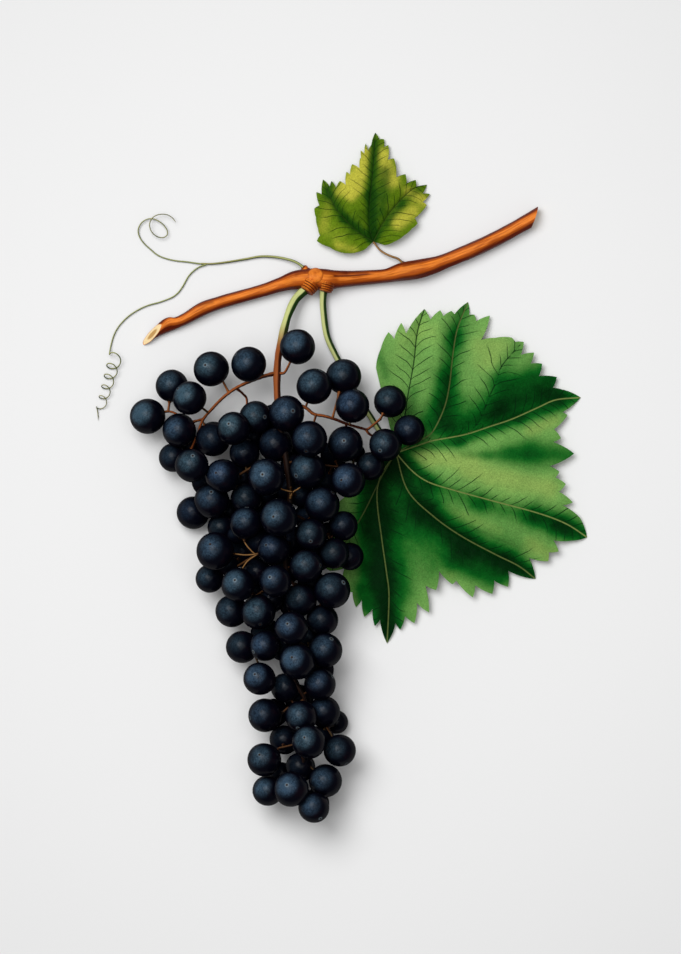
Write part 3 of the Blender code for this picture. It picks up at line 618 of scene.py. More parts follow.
@dataclass(frozen=True)
class StemSkin(Finish):
    """Green stem that ripens to red-brown, by the field ripe, with streaks along it. Its side away from the
    light is darkened as painted shade, and so are the stems deep in the bunch.
    """

    roughness: float = 0.55
    specular: float = 0.08
    green: Colour = (0.52, 0.56, 0.22)
    # Painted shade of a green stem's side away from the light.
    shaded_green: Colour = (0.010, 0.034, 0.004)
    brown: Colour = (0.27, 0.072, 0.017)
    # Painted shade of a brown stem's side away from the light.
    shaded_brown: Colour = (0.032, 0.006, 0.002)
    # Near-black painted shade for the stems deep in the bunch.
    inner: Colour = (0.004, 0.002, 0.0015)
    streak_turn: Pair = (-0.28, 0.32)
    dark_from: Pair = (0.0, 0.42)
    relief_height: float = 0.12 * MM

    def material(self) -> bpy.types.Material:
        """Builds the material from the fields grain, ripe, and side_shade and dim, both painted shade.

        Returns:
            The material.
        """
        made, nodes, shader = self.start()
        streaks = nodes.effect(stem_streaks(), Grain=nodes.field("grain", vector=True))
        # Painted shade on the side away from the light, broken by streaks.
        turned = nodes.plus(nodes.field("side_shade"), nodes.spread(streaks["Streak"], *self.streak_turn))
        dark = nodes.ease(turned, *self.dark_from)
        young = nodes.mix(dark, self.green, self.shaded_green)
        old = nodes.mix(dark, self.brown, self.shaded_brown)
        grown = nodes.mix(nodes.field("ripe"), young, old)
        nodes.feed(shader.inputs["Base Color"], nodes.mix(nodes.field("dim"), grown, self.inner))
        nodes.feed(shader.inputs["Normal"], nodes.bump(streaks["Fibre"], self.relief_height, 0.7))
        return made


@dataclass(frozen=True)
class CaneBark(Finish):
    """Orange-brown bark with long darker streaks, and pale wood with a tan pith where it is cut. The bark has
    a painted highlight along its top and painted shade on its sides and in its grooves.
    """

    roughness: float = 0.45
    specular: float = 0.10
    bark: Colour = (0.42, 0.082, 0.005)
    # Painted highlight along the cane's top.
    light: Colour = (0.76, 0.210, 0.022)
    # Painted shade on the sides, in the grooves and under the dark strokes.
    dark: Colour = (0.095, 0.008, 0.001)
    wood: Colour = (0.86, 0.66, 0.36)
    pith: Colour = (0.50, 0.28, 0.09)
    streak_turn: Pair = (-0.40, 0.55)
    lit_to_bark: Pair = (0.0, 0.30)
    side_shade_from: Pair = (0.32, 1.05)
    patches: Noise = (120.0, 3.0, 0.55)
    patch_values: Pair = (0.72, 1.25)
    wood_rays: Noise = (900.0, 2.0, 0.6)
    wood_values: Pair = (0.85, 1.12)
    relief_height: float = 0.18 * MM

    def material(self) -> bpy.types.Material:
        """Builds the material from the fields grain, cut, heart, and side_shade and shade, both painted
        shade.

        Returns:
            The material.
        """
        made, nodes, shader = self.start()
        streaks = nodes.effect(stem_streaks(), Grain=nodes.field("grain", vector=True))
        sides = nodes.plus(nodes.field("side_shade"), nodes.spread(streaks["Streak"], *self.streak_turn))
        # Painted highlight on top, turning to the bark colour towards the sides.
        lit_bark = nodes.mix(nodes.ease(sides, *self.lit_to_bark), self.light, self.bark)
        patches = nodes.noise(nodes.here(), *self.patches)
        lit_bark = nodes.shaded(lit_bark, nodes.spread(patches, *self.patch_values))
        # Painted shade on the sides and wherever the field shade lies, broken by streaks.
        ribs = nodes.sum("MAXIMUM", nodes.ease(sides, *self.side_shade_from), nodes.field("shade"))
        bark = nodes.mix(ribs, lit_bark, self.dark)
        rays = nodes.noise(nodes.here(), *self.wood_rays)
        wood = nodes.shaded(self.wood, nodes.spread(rays, *self.wood_values))
        face = nodes.mix(nodes.field("heart"), wood, self.pith)
        nodes.feed(shader.inputs["Base Color"], nodes.mix(nodes.field("cut"), bark, face))
        nodes.feed(shader.inputs["Normal"], nodes.bump(streaks["Fibre"], self.relief_height, 0.8))
        return made


@dataclass(frozen=True)
class LeafBlade(Finish):
    """Light green blade, dark along its veins, with pale or dark main veins and dark side veins."""

    roughness: float = 0.60
    specular: float = 0.02
    light: Colour = (0.150, 0.330, 0.075)
    yellow: Colour = (0.235, 0.365, 0.085)
    dark: Colour = (0.0028, 0.108, 0.010)
    deep: Colour = (0.0005, 0.014, 0.002)
    vein_pale: Colour = (0.21, 0.26, 0.075)
    vein_dark: Colour = (0.0015, 0.020, 0.004)
    under: Colour = (0.30, 0.42, 0.17)
    spacing: float = 4.8
    width: float = 0.30
    clouds: Noise = (45.0, 4.0, 0.6)
    mottles: Noise = (260.0, 4.0, 0.7)
    grains: Noise = (1700.0, 2.0, 0.7)
    sun_sway: Pair = (-0.55, 0.55)
    shade_sway: Pair = (-0.13, 0.13)
    yellow_from: Pair = (0.0, 0.9)
    dark_from: Pair = (-0.10, 0.72)
    deep_from: Pair = (0.50, 1.02)
    cloud_values: Pair = (0.70, 1.30)
    grain_values: Pair = (0.38, 1.62)
    relief_height: float = 0.35 * MM

    def material(self) -> bpy.types.Material:
        """Builds the material from the fields off, along, vein, tone, shade, sun and upper.

        Returns:
            The material.
        """
        made, nodes, shader = self.start()
        veins = nodes.effect(leaf_veins(), Off=nodes.field("off"), Along=nodes.field("along"),
                             Vein=nodes.field("vein"), Spacing=self.spacing, Width=self.width)
        cloud = nodes.noise(nodes.here(), *self.clouds)
        mottle = nodes.noise(nodes.here(), *self.mottles)
        grain = nodes.noise(nodes.here(), *self.grains)
        sun = nodes.plus(nodes.field("sun"), nodes.spread(cloud, *self.sun_sway))
        fresh = nodes.mix(nodes.ease(sun, *self.yellow_from), self.light, self.yellow)
        fresh = nodes.shaded(fresh, nodes.spread(cloud, *self.cloud_values))
        shade = nodes.plus(nodes.field("shade"), nodes.spread(mottle, *self.shade_sway))
        blade = nodes.mix(nodes.ease(shade, *self.dark_from), fresh, self.dark)
        blade = nodes.mix(nodes.ease(shade, *self.deep_from), blade, self.deep)
        blade = nodes.shaded(blade, nodes.spread(grain, *self.grain_values))
        side = nodes.times(veins["Side"], 0.9)
        blade = nodes.mix(side, blade, self.vein_dark)
        line = nodes.mix(nodes.field("tone"), self.vein_dark, self.vein_pale)
        blade = nodes.mix(nodes.times(veins["Main"], 0.85), blade, line)
        back = nodes.mix(nodes.sum("MAXIMUM", veins["Main"], side), self.under, self.vein_pale)
        nodes.feed(shader.inputs["Base Color"], nodes.mix(nodes.field("upper"), back, blade))
        fine = nodes.plus(nodes.times(side, -0.8), nodes.times(mottle, 0.9))
        fine = nodes.plus(fine, nodes.times(veins["Net"], -0.15))
        nodes.feed(shader.inputs["Normal"], nodes.bump(fine, self.relief_height, 0.6))
        return made


@dataclass(frozen=True)
class FloorPaint(Finish):
    """Plain pale floor, with painted shade that darkens it a little away from its middle."""

    roughness: float = 0.9
    colour: Colour = (0.80, 0.80, 0.80)
    shade_falloff_from: Pair = (0.08, 0.42)
    values: Pair = (1.0, 0.86)

    def material(self) -> bpy.types.Material:
        """Builds the material.

        Returns:
            The material.
        """
        made, nodes, shader = self.start()
        away = nodes.wired("ShaderNodeVectorMath", "Value", {0: nodes.here()}, operation="LENGTH")
        fade = nodes.spread(nodes.ease(away, *self.shade_falloff_from), *self.values)
        nodes.feed(shader.inputs["Base Color"], nodes.shaded(self.colour, fade))
        return made


# Berries seen from above, as (across, down, radius, layer), from layer 0, foremost, to 3, hindmost.
LEFT_WING = (
    (248.8, 364.2, 17.1, 0), (211.3, 369, 17.3, 0), (171.8, 385.9, 16, 1), (189.6, 398, 16.5, 0),
    (147.7, 416.2, 17.5, 0), (179.4, 430.3, 16.5, 1), (173.3, 457.6, 14.2, 2), (192, 465.5, 16.5, 0),
    (213, 439, 17, 2), (233.6, 428.6, 16.5, 0), (255.7, 417.3, 16, 1),
)
RIGHT_WING = (
    (343.7, 376.6, 17.3, 1), (352.4, 406, 16.7, 0), (390.1, 401.5, 15.8, 1), (409.2, 430.3, 15.2, 1),
    (385.4, 444.9, 16, 0), (345.3, 444, 17.3, 1), (370.2, 466.1, 14, 2), (348.5, 480.2, 16.9, 0),
)
SHOULDER = (
    (297.6, 346.9, 17.3, 0), (314.2, 386.5, 17.6, 0), (286.7, 413.6, 17.6, 0), (309.5, 439, 17.6, 0),
    (275.9, 444.4, 17, 2), (244.4, 453, 14.7, 2), (222.7, 475.9, 16.7, 1), (266.5, 477, 18.2, 0),
    (307.7, 470.5, 18, 1),
)
BODY = (
    (211.9, 500.8, 17.3, 1), (193, 512.7, 16, 2), (246.5, 498.5, 15.5, 2), (279.1, 517.5, 18.5, 0),
    (246, 523, 16, 1), (221, 527.5, 13.5, 3), (322, 504.5, 17.3, 1), (343, 525.7, 14.5, 2),
    (311, 534.2, 15.5, 1), (215.2, 551, 18.5, 0), (273.7, 549, 15.8, 1), (334, 553.3, 15, 2),
    (350, 556.5, 13.5, 3), (209.8, 578.5, 14, 2), (238.1, 584.5, 16.5, 0), (306.3, 566.1, 16.5, 1),
    (275.3, 581, 15.8, 0), (257, 572, 13.5, 3),
)
WAIST = (
    (332.2, 590.2, 17.9, 1), (300.5, 599.4, 16, 2), (231.7, 610.9, 16, 2), (258.4, 612, 17, 1),
    (270.7, 599.4, 13.5, 3), (291.4, 628, 16.5, 0), (322.3, 620, 15.5, 2), (242, 647.1, 15.8, 2),
    (265, 645.7, 15.2, 1), (297.1, 661.4, 17.5, 0), (325.3, 650.3, 16.9, 1),
)
TAIL = (
    (259.7, 678.6, 16, 0), (320, 684.3, 15.5, 1), (285.6, 687.8, 14.5, 2), (265, 715.3, 16.4, 1),
    (301.2, 716.5, 15.8, 1), (324.6, 711.9, 15.5, 2), (336.5, 722.2, 11.5, 3), (284.4, 739.8, 14.5, 3),
    (308.8, 741.7, 16.5, 0), (339.6, 750.4, 15.8, 1), (264.3, 759.6, 16.5, 0), (300.5, 767, 14.5, 3),
    (325.3, 780.7, 16.4, 1), (267.8, 790.4, 15, 1), (291.4, 788.8, 17.2, 0), (313.9, 807.1, 15.3, 1),
    (281, 774, 11.5, 3),
)
# Berries at the very bottom that show dark through the gaps, as (across, down, radius).
LOW_BERRIES = (
    (243.2, 551.6, 15.4), (289.5, 489.5, 15.4), (292.4, 542, 15), (326.5, 482, 15),
    (309, 639, 14.4), (256, 591, 12.2), (312, 584, 13.7), (299, 699, 14),
    (230, 511, 11.2), (191.5, 446, 11),
)
# Small berries deep in the bunch where it looks dark between the others, as (across, down, height, radius).
# They are dark, with little bloom and gloss, and stand in for the shade in those gaps.
INNER_BERRIES = (
    (334, 455, 23, 13.5), (274, 713, 14, 14), (292, 465, 32, 11.5), (266, 495, 23, 10.5),
    (322, 737, 23, 11.5), (302, 495, 38, 12), (228, 565, 41, 10.5), (282, 649, 32, 11.5),
    (328, 531, 20, 8.5), (260, 543, 38, 15), (356, 453, 20, 9), (318, 557, 23, 14),
    (236, 535, 41, 9), (274, 419, 23, 14.5),
)
# Where the scars at the tips of some foremost berries show.
SCARS = (
    (205.4, 365.2), (193, 456), (262.6, 474.5), (228.9, 423.9), (344, 440.8), (211.3, 492.1),
    (273.6, 516.6), (210.5, 544.2), (266.3, 544.9), (235, 580), (287.5, 623.5), (292, 657),
    (255, 674), (259.5, 754.5), (287, 784.5), (304.5, 737), (341.5, 480), (270, 577),
)


@dataclass
class Bunch:
    """The berries, the stems that carry them, and each berry's own stalk.

    Lengths are in steps of the grid. The fields that end in down or from are where an ease starts and ends,
    and a look is how ripe a stem is and how much painted shade darkens it deep in the bunch.
    """

    # How the seen berries stack: the height of the bunch's middle down its spine, and its fall to the sides.
    seen: Rows = LEFT_WING + RIGHT_WING + SHOULDER + BODY + WAIST + TAIL
    spine: Rows = (
        (330, 280, 29), (373, 277, 39), (400, 278, 46), (440, 284, 51), (470, 287, 56), (520, 286, 56),
        (560, 285, 56), (620, 291, 49), (640, 292, 47), (690, 299, 42), (720, 303, 40), (830, 303, 35),
    )
    spine_reach: float = 140
    wing_drop: float = 0.62
    wing_curve: float = 1.3
    least_middle: float = 20
    layer_lift: tuple[float, ...] = (0.55, 0.2, -0.15, -0.4)
    press: float = 1.003
    least_overlap: float = 0.4
    rounds: int = 400
    pull_rounds: int = 300
    pull: float = 0.02
    table_press: float = 0.5 * MM
    leaf_bed: float = 9.4
    bed_across: Pair = (298, 312)
    bed_down: Pair = (602, 622)
    # Hidden berries, drawn by seed wherever the seen ones cover them.
    hidden_radii: Pair = (14.2, 16.0)
    hidden_tries: int = 1200
    hidden_rim: int = 24
    cover_slack: float = 1
    cover_height: float = 4.4
    least_cover: float = 0.9
    seed: int = 11
    # The shape of one berry: bulges and dents by their size and width, in shares of its radius.
    plump: float = 1.022
    bulges: Pair = (0.012, 0.008)
    bulge_turns: Pair = (2.399, 1.713)
    dent: Pair = (0.05, 0.22)
    scar_rim: tuple[float, ...] = (0.012, 0.085, 0.03)
    scar_pit: Pair = (0.012, 0.05)
    tip_and_foot: Pair = (0.985, 0.95)
    ring_crowding: float = 1.3
    marking_step: float = 7.31
    flattest_tip: float = 0.05
    shell_grid: tuple[int, int] = (34, 44)
    hidden_grid: tuple[int, int] = (22, 28)
    # How much bloom a berry keeps, and where it lies: its own share at random, painted light on
    # its lit side, and painted shade at its rims, on the berries behind and on those right of the stem.
    # Painted shade: less bloom on the berries behind, layer by layer.
    layer_dust_and_shade: tuple[float, ...] = (1.04, 0.70, 0.36, 0.14)
    own_dust: Pair = (0.70, 0.58)
    own_turn: float = 12.9898
    # Painted shade: less bloom on the berries right of the stem.
    right_shade: float = 0.28
    right_shade_from: Pair = (8, 45)
    bloom_lean: float = 0.15
    # Painted light: where on the lit side the bloom starts and where it is full.
    lit_bloom_from: Pair = (0.58, 1.10)
    # Painted shade: the bloom thins from where the skin faces up to none at the rims.
    rim_shade_from: Pair = (0.10, 0.92)
    # Stems, each by its radius at root and tip and its route.
    main_radii: Pair = (4.6, 1.6)
    main_stem: Rows = (
        (307.5, 287.5, 12), (302, 292.5, 12.7), (294.6, 301, 15), (287.2, 318, 20), (280.5, 345, 30),
        (277.4, 366, 41), (277.4, 397, 48), (281, 430, 51), (287, 465, 53), (290, 501, 54),
        (284, 535, 53), (287, 575, 50), (291, 615, 47), (293.7, 650, 45), (294.5, 680, 43),
        (300, 690, 42), (305, 703, 40), (303.5, 735, 38), (303.5, 758, 39), (301, 785, 35),
    )
    side_stems: tuple[tuple[float, float, Rows], ...] = (
        (2.2, 1.5, ((277.4, 373, 43), (262, 377, 46), (240, 386, 44), (225, 396, 41), (212, 409, 38),
                    (203, 420, 35), (197, 436, 31), (191, 450, 27))),
        (1.5, 1.2, ((204, 419, 35), (190, 421, 31), (172, 412, 27), (160, 412, 26))),
        (1.5, 1.2, ((236, 388, 44), (243, 394, 40), (247, 402, 37), (243, 430, 30))),
        (1.8, 1.4, ((277.4, 373, 43), (284, 373, 47), (288, 367, 48))),
        (2.2, 1.4, ((280, 402, 48), (303, 406.5, 52), (313.8, 414, 54), (324.7, 416.2, 54),
                    (335.5, 419.5, 52), (348.5, 424.5, 48), (361.5, 428.2, 43), (367, 429.3, 41),
                    (373.4, 424.9, 40), (380, 419.5, 39))),
        (1.5, 1.3, ((366, 429, 41), (370.2, 434.7, 39), (384, 440, 33), (398, 436, 30))),
        (1.9, 1.3, ((285, 455, 52), (262, 462, 46), (235, 478, 40), (216, 494, 36))),
        (1.9, 1.3, ((287, 463, 53), (305, 462, 50), (330, 466, 45), (352, 468, 40))),
        (1.6, 1.2, ((290, 501, 54), (291, 491, 62), (291, 487, 66))),
        (1.9, 1.3, ((288, 512, 54), (305, 520, 47), (325, 533, 40), (338, 546, 34))),
        (2, 1.3, ((284, 535, 53), (270, 547, 56), (256, 555, 57), (236, 567, 44), (220, 574, 34))),
        (1.15, 0.95, ((262, 552, 57), (256, 554, 58), (250, 549, 58), (246, 544, 57), (243.5, 539, 54))),
        (1.15, 0.95, ((260, 553, 57), (254, 554.5, 58), (245, 555, 58), (236, 554, 57), (230, 553, 54))),
        (1.15, 0.95, ((260, 553, 57), (255, 556, 58), (248, 561, 58), (243.5, 567, 57), (241, 572, 54))),
        (1.1, 0.9, ((291, 498, 60), (292.5, 492.5, 65), (288, 491, 65), (283, 489.5, 63), (279, 487, 60))),
        (1.1, 0.9, ((291, 496, 62), (293.5, 492, 65), (297.5, 489.5, 65), (301, 487, 64), (305, 484, 60))),
        (1.8, 1.3, ((287, 575, 50), (268, 588, 43), (246, 602, 35))),
        (1.8, 1.3, ((288, 580, 50), (305, 590, 44), (322, 603, 38))),
        (1.7, 1.2, ((293, 632, 46), (272, 642, 41), (254, 652, 36))),
        (1.7, 1.2, ((293, 638, 46), (310, 650, 40), (318, 664, 37))),
        (1.6, 1.2, ((304, 700, 40), (288, 708, 36), (274, 722, 34))),
        (1.6, 1.2, ((305, 705, 40), (318, 716, 34), (330, 732, 33))),
        (1.5, 1.2, ((303.5, 742, 38), (291.4, 745.2, 41), (278.7, 748.1, 40))),
        (1.5, 1.2, ((303, 762, 38), (312, 768, 36), (317, 776, 34))),
    )
    first_berry_down: float = 366
    shortest_pedicel: float = 3.0
    too_near_cost: float = 40
    pedicel_radius: float = 1.15
    pedicel_knob: float = 0.93
    ripens_down: Pair = (318, 352)
    # Painted shade deep in the bunch: on the lower main stem and pedicels, and on the side stems past the
    # open ones.
    dims_down: Pair = (400, 432)
    pedicels_dim_down: Pair = (425, 455)
    open_stems: int = 6
    forks: tuple[int, ...] = (8, 11, 12, 13, 14, 15)
    open_look: Pair = (1.0, 0.0)
    deep_look: Pair = (0.9, 0.75)
    fork_look: Pair = (0.82, 0.25)
    pedicel_ripe: Pair = (0.95, 0.75)

    def lowest_centre(self, across: Array, down: Array, radius: Array) -> Array:
        """Lowest height of a berry's middle: on the leaf's bed, or pressed a little into the table.

        Args:
            across: Its place across the grid.
            down: Its place down the grid.
            radius: Its radius.

        Returns:
            The height in steps.
        """
        from_left = np.clip((across - self.bed_across[0]) / (self.bed_across[1] - self.bed_across[0]), 0, 1)
        from_foot = 1 - np.clip((down - self.bed_down[0]) / (self.bed_down[1] - self.bed_down[0]), 0, 1)
        bed = self.leaf_bed * from_left * from_foot
        return bed + radius - np.where(bed == 0, self.table_press / GRID.step, 0)

    def stacked_heights(self) -> Array:
        """Heights of the seen berries: each starts at its layer's height, then pairs that overlap part.

        Returns:
            The height of each berry's middle, in steps.
        """
        across, down, radius, layer = np.array(self.seen).T
        floor = self.lowest_centre(across, down, radius)
        downs, acrosses, heights = np.array(self.spine, float).T
        off = np.clip(np.abs(across - np.interp(down, downs, acrosses)) / self.spine_reach, 0, 1)
        middle = np.interp(down, downs, heights) * (1 - self.wing_drop * off**self.wing_curve)
        middle = np.maximum(middle, self.least_middle)
        aim = np.maximum(middle * (1 + np.array(self.layer_lift)[layer.astype(int)]), floor)
        height = aim.copy()
        apart = np.hypot(across[:, None] - across, down[:, None] - down)
        touch = (radius[:, None] + radius) * self.press
        need = np.sqrt(np.clip(touch**2 - apart**2, 0, None))
        pairs = []
        for i, j in zip(*np.nonzero(np.tril(need > self.least_overlap, -1))):
            i_is_above = layer[i] < layer[j] if layer[i] != layer[j] else aim[i] >= aim[j]
            pairs.append((i, j) if i_is_above else (j, i))
        for count in range(self.rounds):
            if count < self.pull_rounds:
                height += (aim - height) * self.pull
            for upper, lower in pairs:
                short = need[upper, lower] - (height[upper] - height[lower])
                if short > 0:
                    sink = max(min(short / 2, height[lower] - floor[lower]), 0)
                    height[lower] -= sink
                    height[upper] += short - sink
            height = np.maximum(height, floor)
        return height

    def balls(self) -> Array:
        """The seen and low berries, seeded hidden ones where the seen cover them, and the inner ones.

        Returns:
            All berries as rows (across, down, height, radius).
        """
        seen = np.array(self.seen)
        height = self.stacked_heights()
        balls = list(np.column_stack((seen[:, 0], seen[:, 1], height, seen[:, 2])))
        for across, down, radius in LOW_BERRIES:
            balls.append(np.array((across, down, float(self.lowest_centre(across, down, radius)), radius)))
        draw = random.Random(self.seed)
        circle = np.column_stack((np.cos(turns(self.hidden_rim)), np.sin(turns(self.hidden_rim))))
        low, high = seen[:, :2].min(0), seen[:, :2].max(0)
        for _ in range(self.hidden_tries):
            across, down = draw.uniform(low[0], high[0]), draw.uniform(low[1], high[1])
            radius = draw.uniform(*self.hidden_radii)
            centre = float(self.lowest_centre(across, down, radius))
            rim = np.array((across, down)) + radius * circle
            reach = np.hypot(rim[:, None, 0] - seen[:, 0], rim[:, None, 1] - seen[:, 1])
            under = (reach < seen[:, 2] + self.cover_slack) & (height > centre + self.cover_height)
            if under.any(1).mean() < self.least_cover:
                continue
            others = np.array(balls)
            far = np.linalg.norm(others[:, :3] - (across, down, centre), axis=1)
            if (far > others[:, 3] + radius).all():
                balls.append(np.array((across, down, centre, radius)))
        return np.vstack((balls, INNER_BERRIES))

    def stem_spots(self) -> Array:
        """Points along every stem that can carry a berry, six to a row of its route.

        Returns:
            The points as rows (across, down, height).
        """
        main = smooth_line(self.main_stem, 6 * len(self.main_stem))
        spots = [main[main[:, 1] > self.first_berry_down]]
        spots += [smooth_line(route, 6 * len(route)) for _, _, route in self.side_stems]
        return np.vstack(spots)

    def roots(self, balls: Array) -> Array:
        """The point of the stems that each berry grows from: the nearest that leaves room for its stalk.

        Args:
            balls: The berries.

        Returns:
            One point to a berry, as rows (across, down, height).
        """
        spots = self.stem_spots()
        away = np.linalg.norm(balls[:, None, :3] - spots[None], axis=2)
        too_near = away < balls[:, 3:4] + self.shortest_pedicel
        return spots[np.argmin(away + self.too_near_cost * too_near, axis=1)]

    def tips(self, balls: Array, roots: Array) -> Array:
        """Unit directions in which the berries' tips point: away from the stem, or to the scars that show.

        Args:
            balls: The berries.
            roots: The point of the stem that each grows from.

        Returns:
            One direction to a berry, in the frame's axes.
        """
        ways = unit((balls[:, :3] - roots) * (1, -1, 1))
        seen = balls[:len(self.seen)]
        for across, down in SCARS:
            which = int(np.argmin(np.hypot(seen[:, 0] - across, seen[:, 1] - down)))
            flat = np.array((across - balls[which, 0], balls[which, 1] - down)) / balls[which, 3]
            ways[which] = (*flat, math.sqrt(max(1 - flat @ flat, self.flattest_tip)))
        return unit(ways)

    def bulge(self, t: Array, a: Array, number: Array) -> Array:
        """A berry's radius against its own, at polar angle t from its tip and turn a:
        1 + b sin²t cos(2a + p) + c sin²t cos(3a + q), less a dent at the stalk, with a rim and a pit at the
        scar, all three bell curves.

        Args:
            t: The rings' polar angles.
            a: The turns of a ring's points.
            number: The berries' numbers, which p and q follow.

        Returns:
            The radii by berry, ring and side.
        """
        p, q = ((number * turn)[:, None, None] for turn in self.bulge_turns)
        wide, slim = self.bulges
        bulge = 1 + wide * np.sin(t) ** 2 * np.cos(2 * a + p) + slim * np.sin(t) ** 2 * np.cos(3 * a + q)
        bulge = bulge - self.dent[0] * bell(t, math.pi, self.dent[1])
        rim, rim_at, rim_width = self.scar_rim
        return bulge + rim * bell(t, rim_at, rim_width) - self.scar_pit[0] * bell(t, 0, self.scar_pit[1])

    def berries(self, balls: Array, tips: Array, dusty: Array, grid: tuple[int, int],
                first: int) -> Surface:
        """Berries as spheres round their tips, with rings closer together at the tip, times their bulge.

        Args:
            balls: The berries as (across, down, height, radius).
            tips: The way that each one's tip points.
            dusty: How much bloom each one keeps, less where painted shade falls on it.
            grid: Rings from tip to stalk, and points in a ring.
            first: The number of the first berry, which its markings follow.

        Returns:
            One surface with the fields skin, berry, tip and bloom.
        """
        rings, sides = grid
        polar = math.pi * (np.arange(1, rings + 1) / (rings + 1)) ** self.ring_crowding
        number = np.arange(len(balls)) + first
        t, a = polar[None, :, None], turns(sides)[None, None, :]
        steady = np.where(np.abs(tips[:, 2:]) < 0.8, ((0, 0, 1.0),), ((1.0, 0, 0),))
        aside = unit(np.cross(steady, tips))
        frames = np.stack((aside, np.cross(tips, aside), tips), axis=1)
        local = np.stack(np.broadcast_arrays(np.sin(t) * np.cos(a), np.sin(t) * np.sin(a), np.cos(t)), -1)
        local = np.broadcast_to(local, (len(balls), rings, sides, 3))
        ways = np.einsum("nrsk,nkx->nrsx", local, frames)
        size = balls[:, 3] * GRID.step * self.plump
        middle = GRID.points(balls[:, :3])
        reach = size[:, None, None] * self.bulge(t, a, number)
        shell = middle[:, None, None] + reach[..., None] * ways
        to_tip, to_foot = self.tip_and_foot
        points = self.closed(middle + size[:, None] * to_tip * tips, shell,
                             middle - size[:, None] * to_foot * tips)
        normals = self.closed(tips, ways, -tips)
        flat = np.zeros((len(balls), 3))
        skin = self.closed(flat + (0, 0, 1), local, flat + (0, 0, -1))
        count = rings * sides + 2
        quads, tris = tube_faces(rings, sides)
        start = np.arange(len(balls))[:, None, None] * count
        return Surface(points.reshape(-1, 3), (quads[None] + start).reshape(-1, 4),
                       (tris[None] + start).reshape(-1, 3), {
                           "skin": skin.reshape(-1, 3),
                           "berry": np.repeat(number * self.marking_step, count),
                           "tip": np.arccos(np.clip(skin[..., 2], -1, 1)).ravel(),
                           "bloom": self.bloom(normals, tips, dusty).ravel(),
                       })

    @staticmethod
    def closed(first: Array, rings: Array, last: Array) -> Array:
        """Puts each berry's pole at the tip, its rings and its pole at the stalk in one row."""
        return np.concatenate((first[:, None], rings.reshape(len(first), -1, 3), last[:, None]), axis=1)

    def bloom(self, normals: Array, tips: Array, dusty: Array) -> Array:
        """How thick the bloom lies, with painted light and shade: most on the lit upper side and towards the
        tip, thinning at the rims, none on the side away from the light.

        Args:
            normals: Unit directions from each berry's middle to its points.
            tips: The way that each tip points.
            dusty: How much bloom each berry keeps, less where painted shade falls on it.

        Returns:
            Shares from 0 to 1, one to a point.
        """
        lit_side = unit(BLOOM_LIGHT_WAY + self.bloom_lean * tips)
        lit = np.einsum("npx,nx->np", normals, lit_side)
        return dusty[:, None] * ease(lit, *self.lit_bloom_from) * ease(normals[..., 2], *self.rim_shade_from)

    def dust_and_shade(self, count: int) -> Array:
        """How much bloom each berry keeps: its own share at random, made less by painted shade on the berries
        behind and on those right of the stem.

        Args:
            count: How many berries there are.

        Returns:
            A share for each berry, no two alike.
        """
        seen = np.array(self.seen)
        layers = np.concatenate((seen[:, 3], np.full(count - len(seen), 3))).astype(int)
        own = self.own_dust[0] + self.own_dust[1] * np.sin(np.arange(count) * self.own_turn) ** 2
        downs, acrosses, _ = np.array(self.spine, float).T
        right_of_stem = np.zeros(count)
        right_of_stem[:len(seen)] = seen[:, 0] - np.interp(seen[:, 1], downs, acrosses)
        right = ease(right_of_stem, *self.right_shade_from)
        return own * np.array(self.layer_dust_and_shade)[layers] * (1 - self.right_shade * right)

    def stems(self, balls: Array, tips: Array, roots: Array) -> Surface:
        """Main stem, side stems and pedicels. A stem's radius goes evenly from root to tip with slow waves
        in it, and a side stem's swells by a third at its root.

        Args:
            balls: The berries.
            tips: The way that each tip points.
            roots: The point of the stem that each grows from.

        Returns:
            One surface with the fields grain, ripe, and side_shade and dim, both painted shade.
        """
        line = smooth_line(self.main_stem, 260)
        share = np.linspace(0, 1, len(line))
        radii = taper(self.main_radii, share**0.7)
        radii = radii * (1 + 0.05 * np.sin(share * 71) + 0.04 * np.sin(share * 133 + 1))
        parts = [tube(GRID.points(line), radii * GRID.step, 20, ripe=ease(line[:, 1], *self.ripens_down),
                      dim=0.97 * ease(line[:, 1], *self.dims_down))]
        for index, (thick, thin, route) in enumerate(self.side_stems):
            line = smooth_line(route, 12 * len(route))
            share = np.linspace(0, 1, len(line))
            radii = taper((thick, thin), share) + 0.35 * thick * bell(share, 0, 0.08)
            radii = 0.84 * radii * (1 + 0.06 * np.sin(share * 17 * len(route) + index))
            look = self.open_look if index < self.open_stems else self.deep_look
            ripe, dim = self.fork_look if index in self.forks else look
            parts.append(tube(GRID.points(line), radii * GRID.step, 12, ripe=ripe, dim=dim))
        for index, (ball, tip, root) in enumerate(zip(balls, tips, roots)):
            ripe = self.pedicel_ripe[0 if index % 3 else 1]
            parts.append(self.pedicel(ball, tip * (1, -1, 1), root, ripe))
        return Surface.joined(parts)

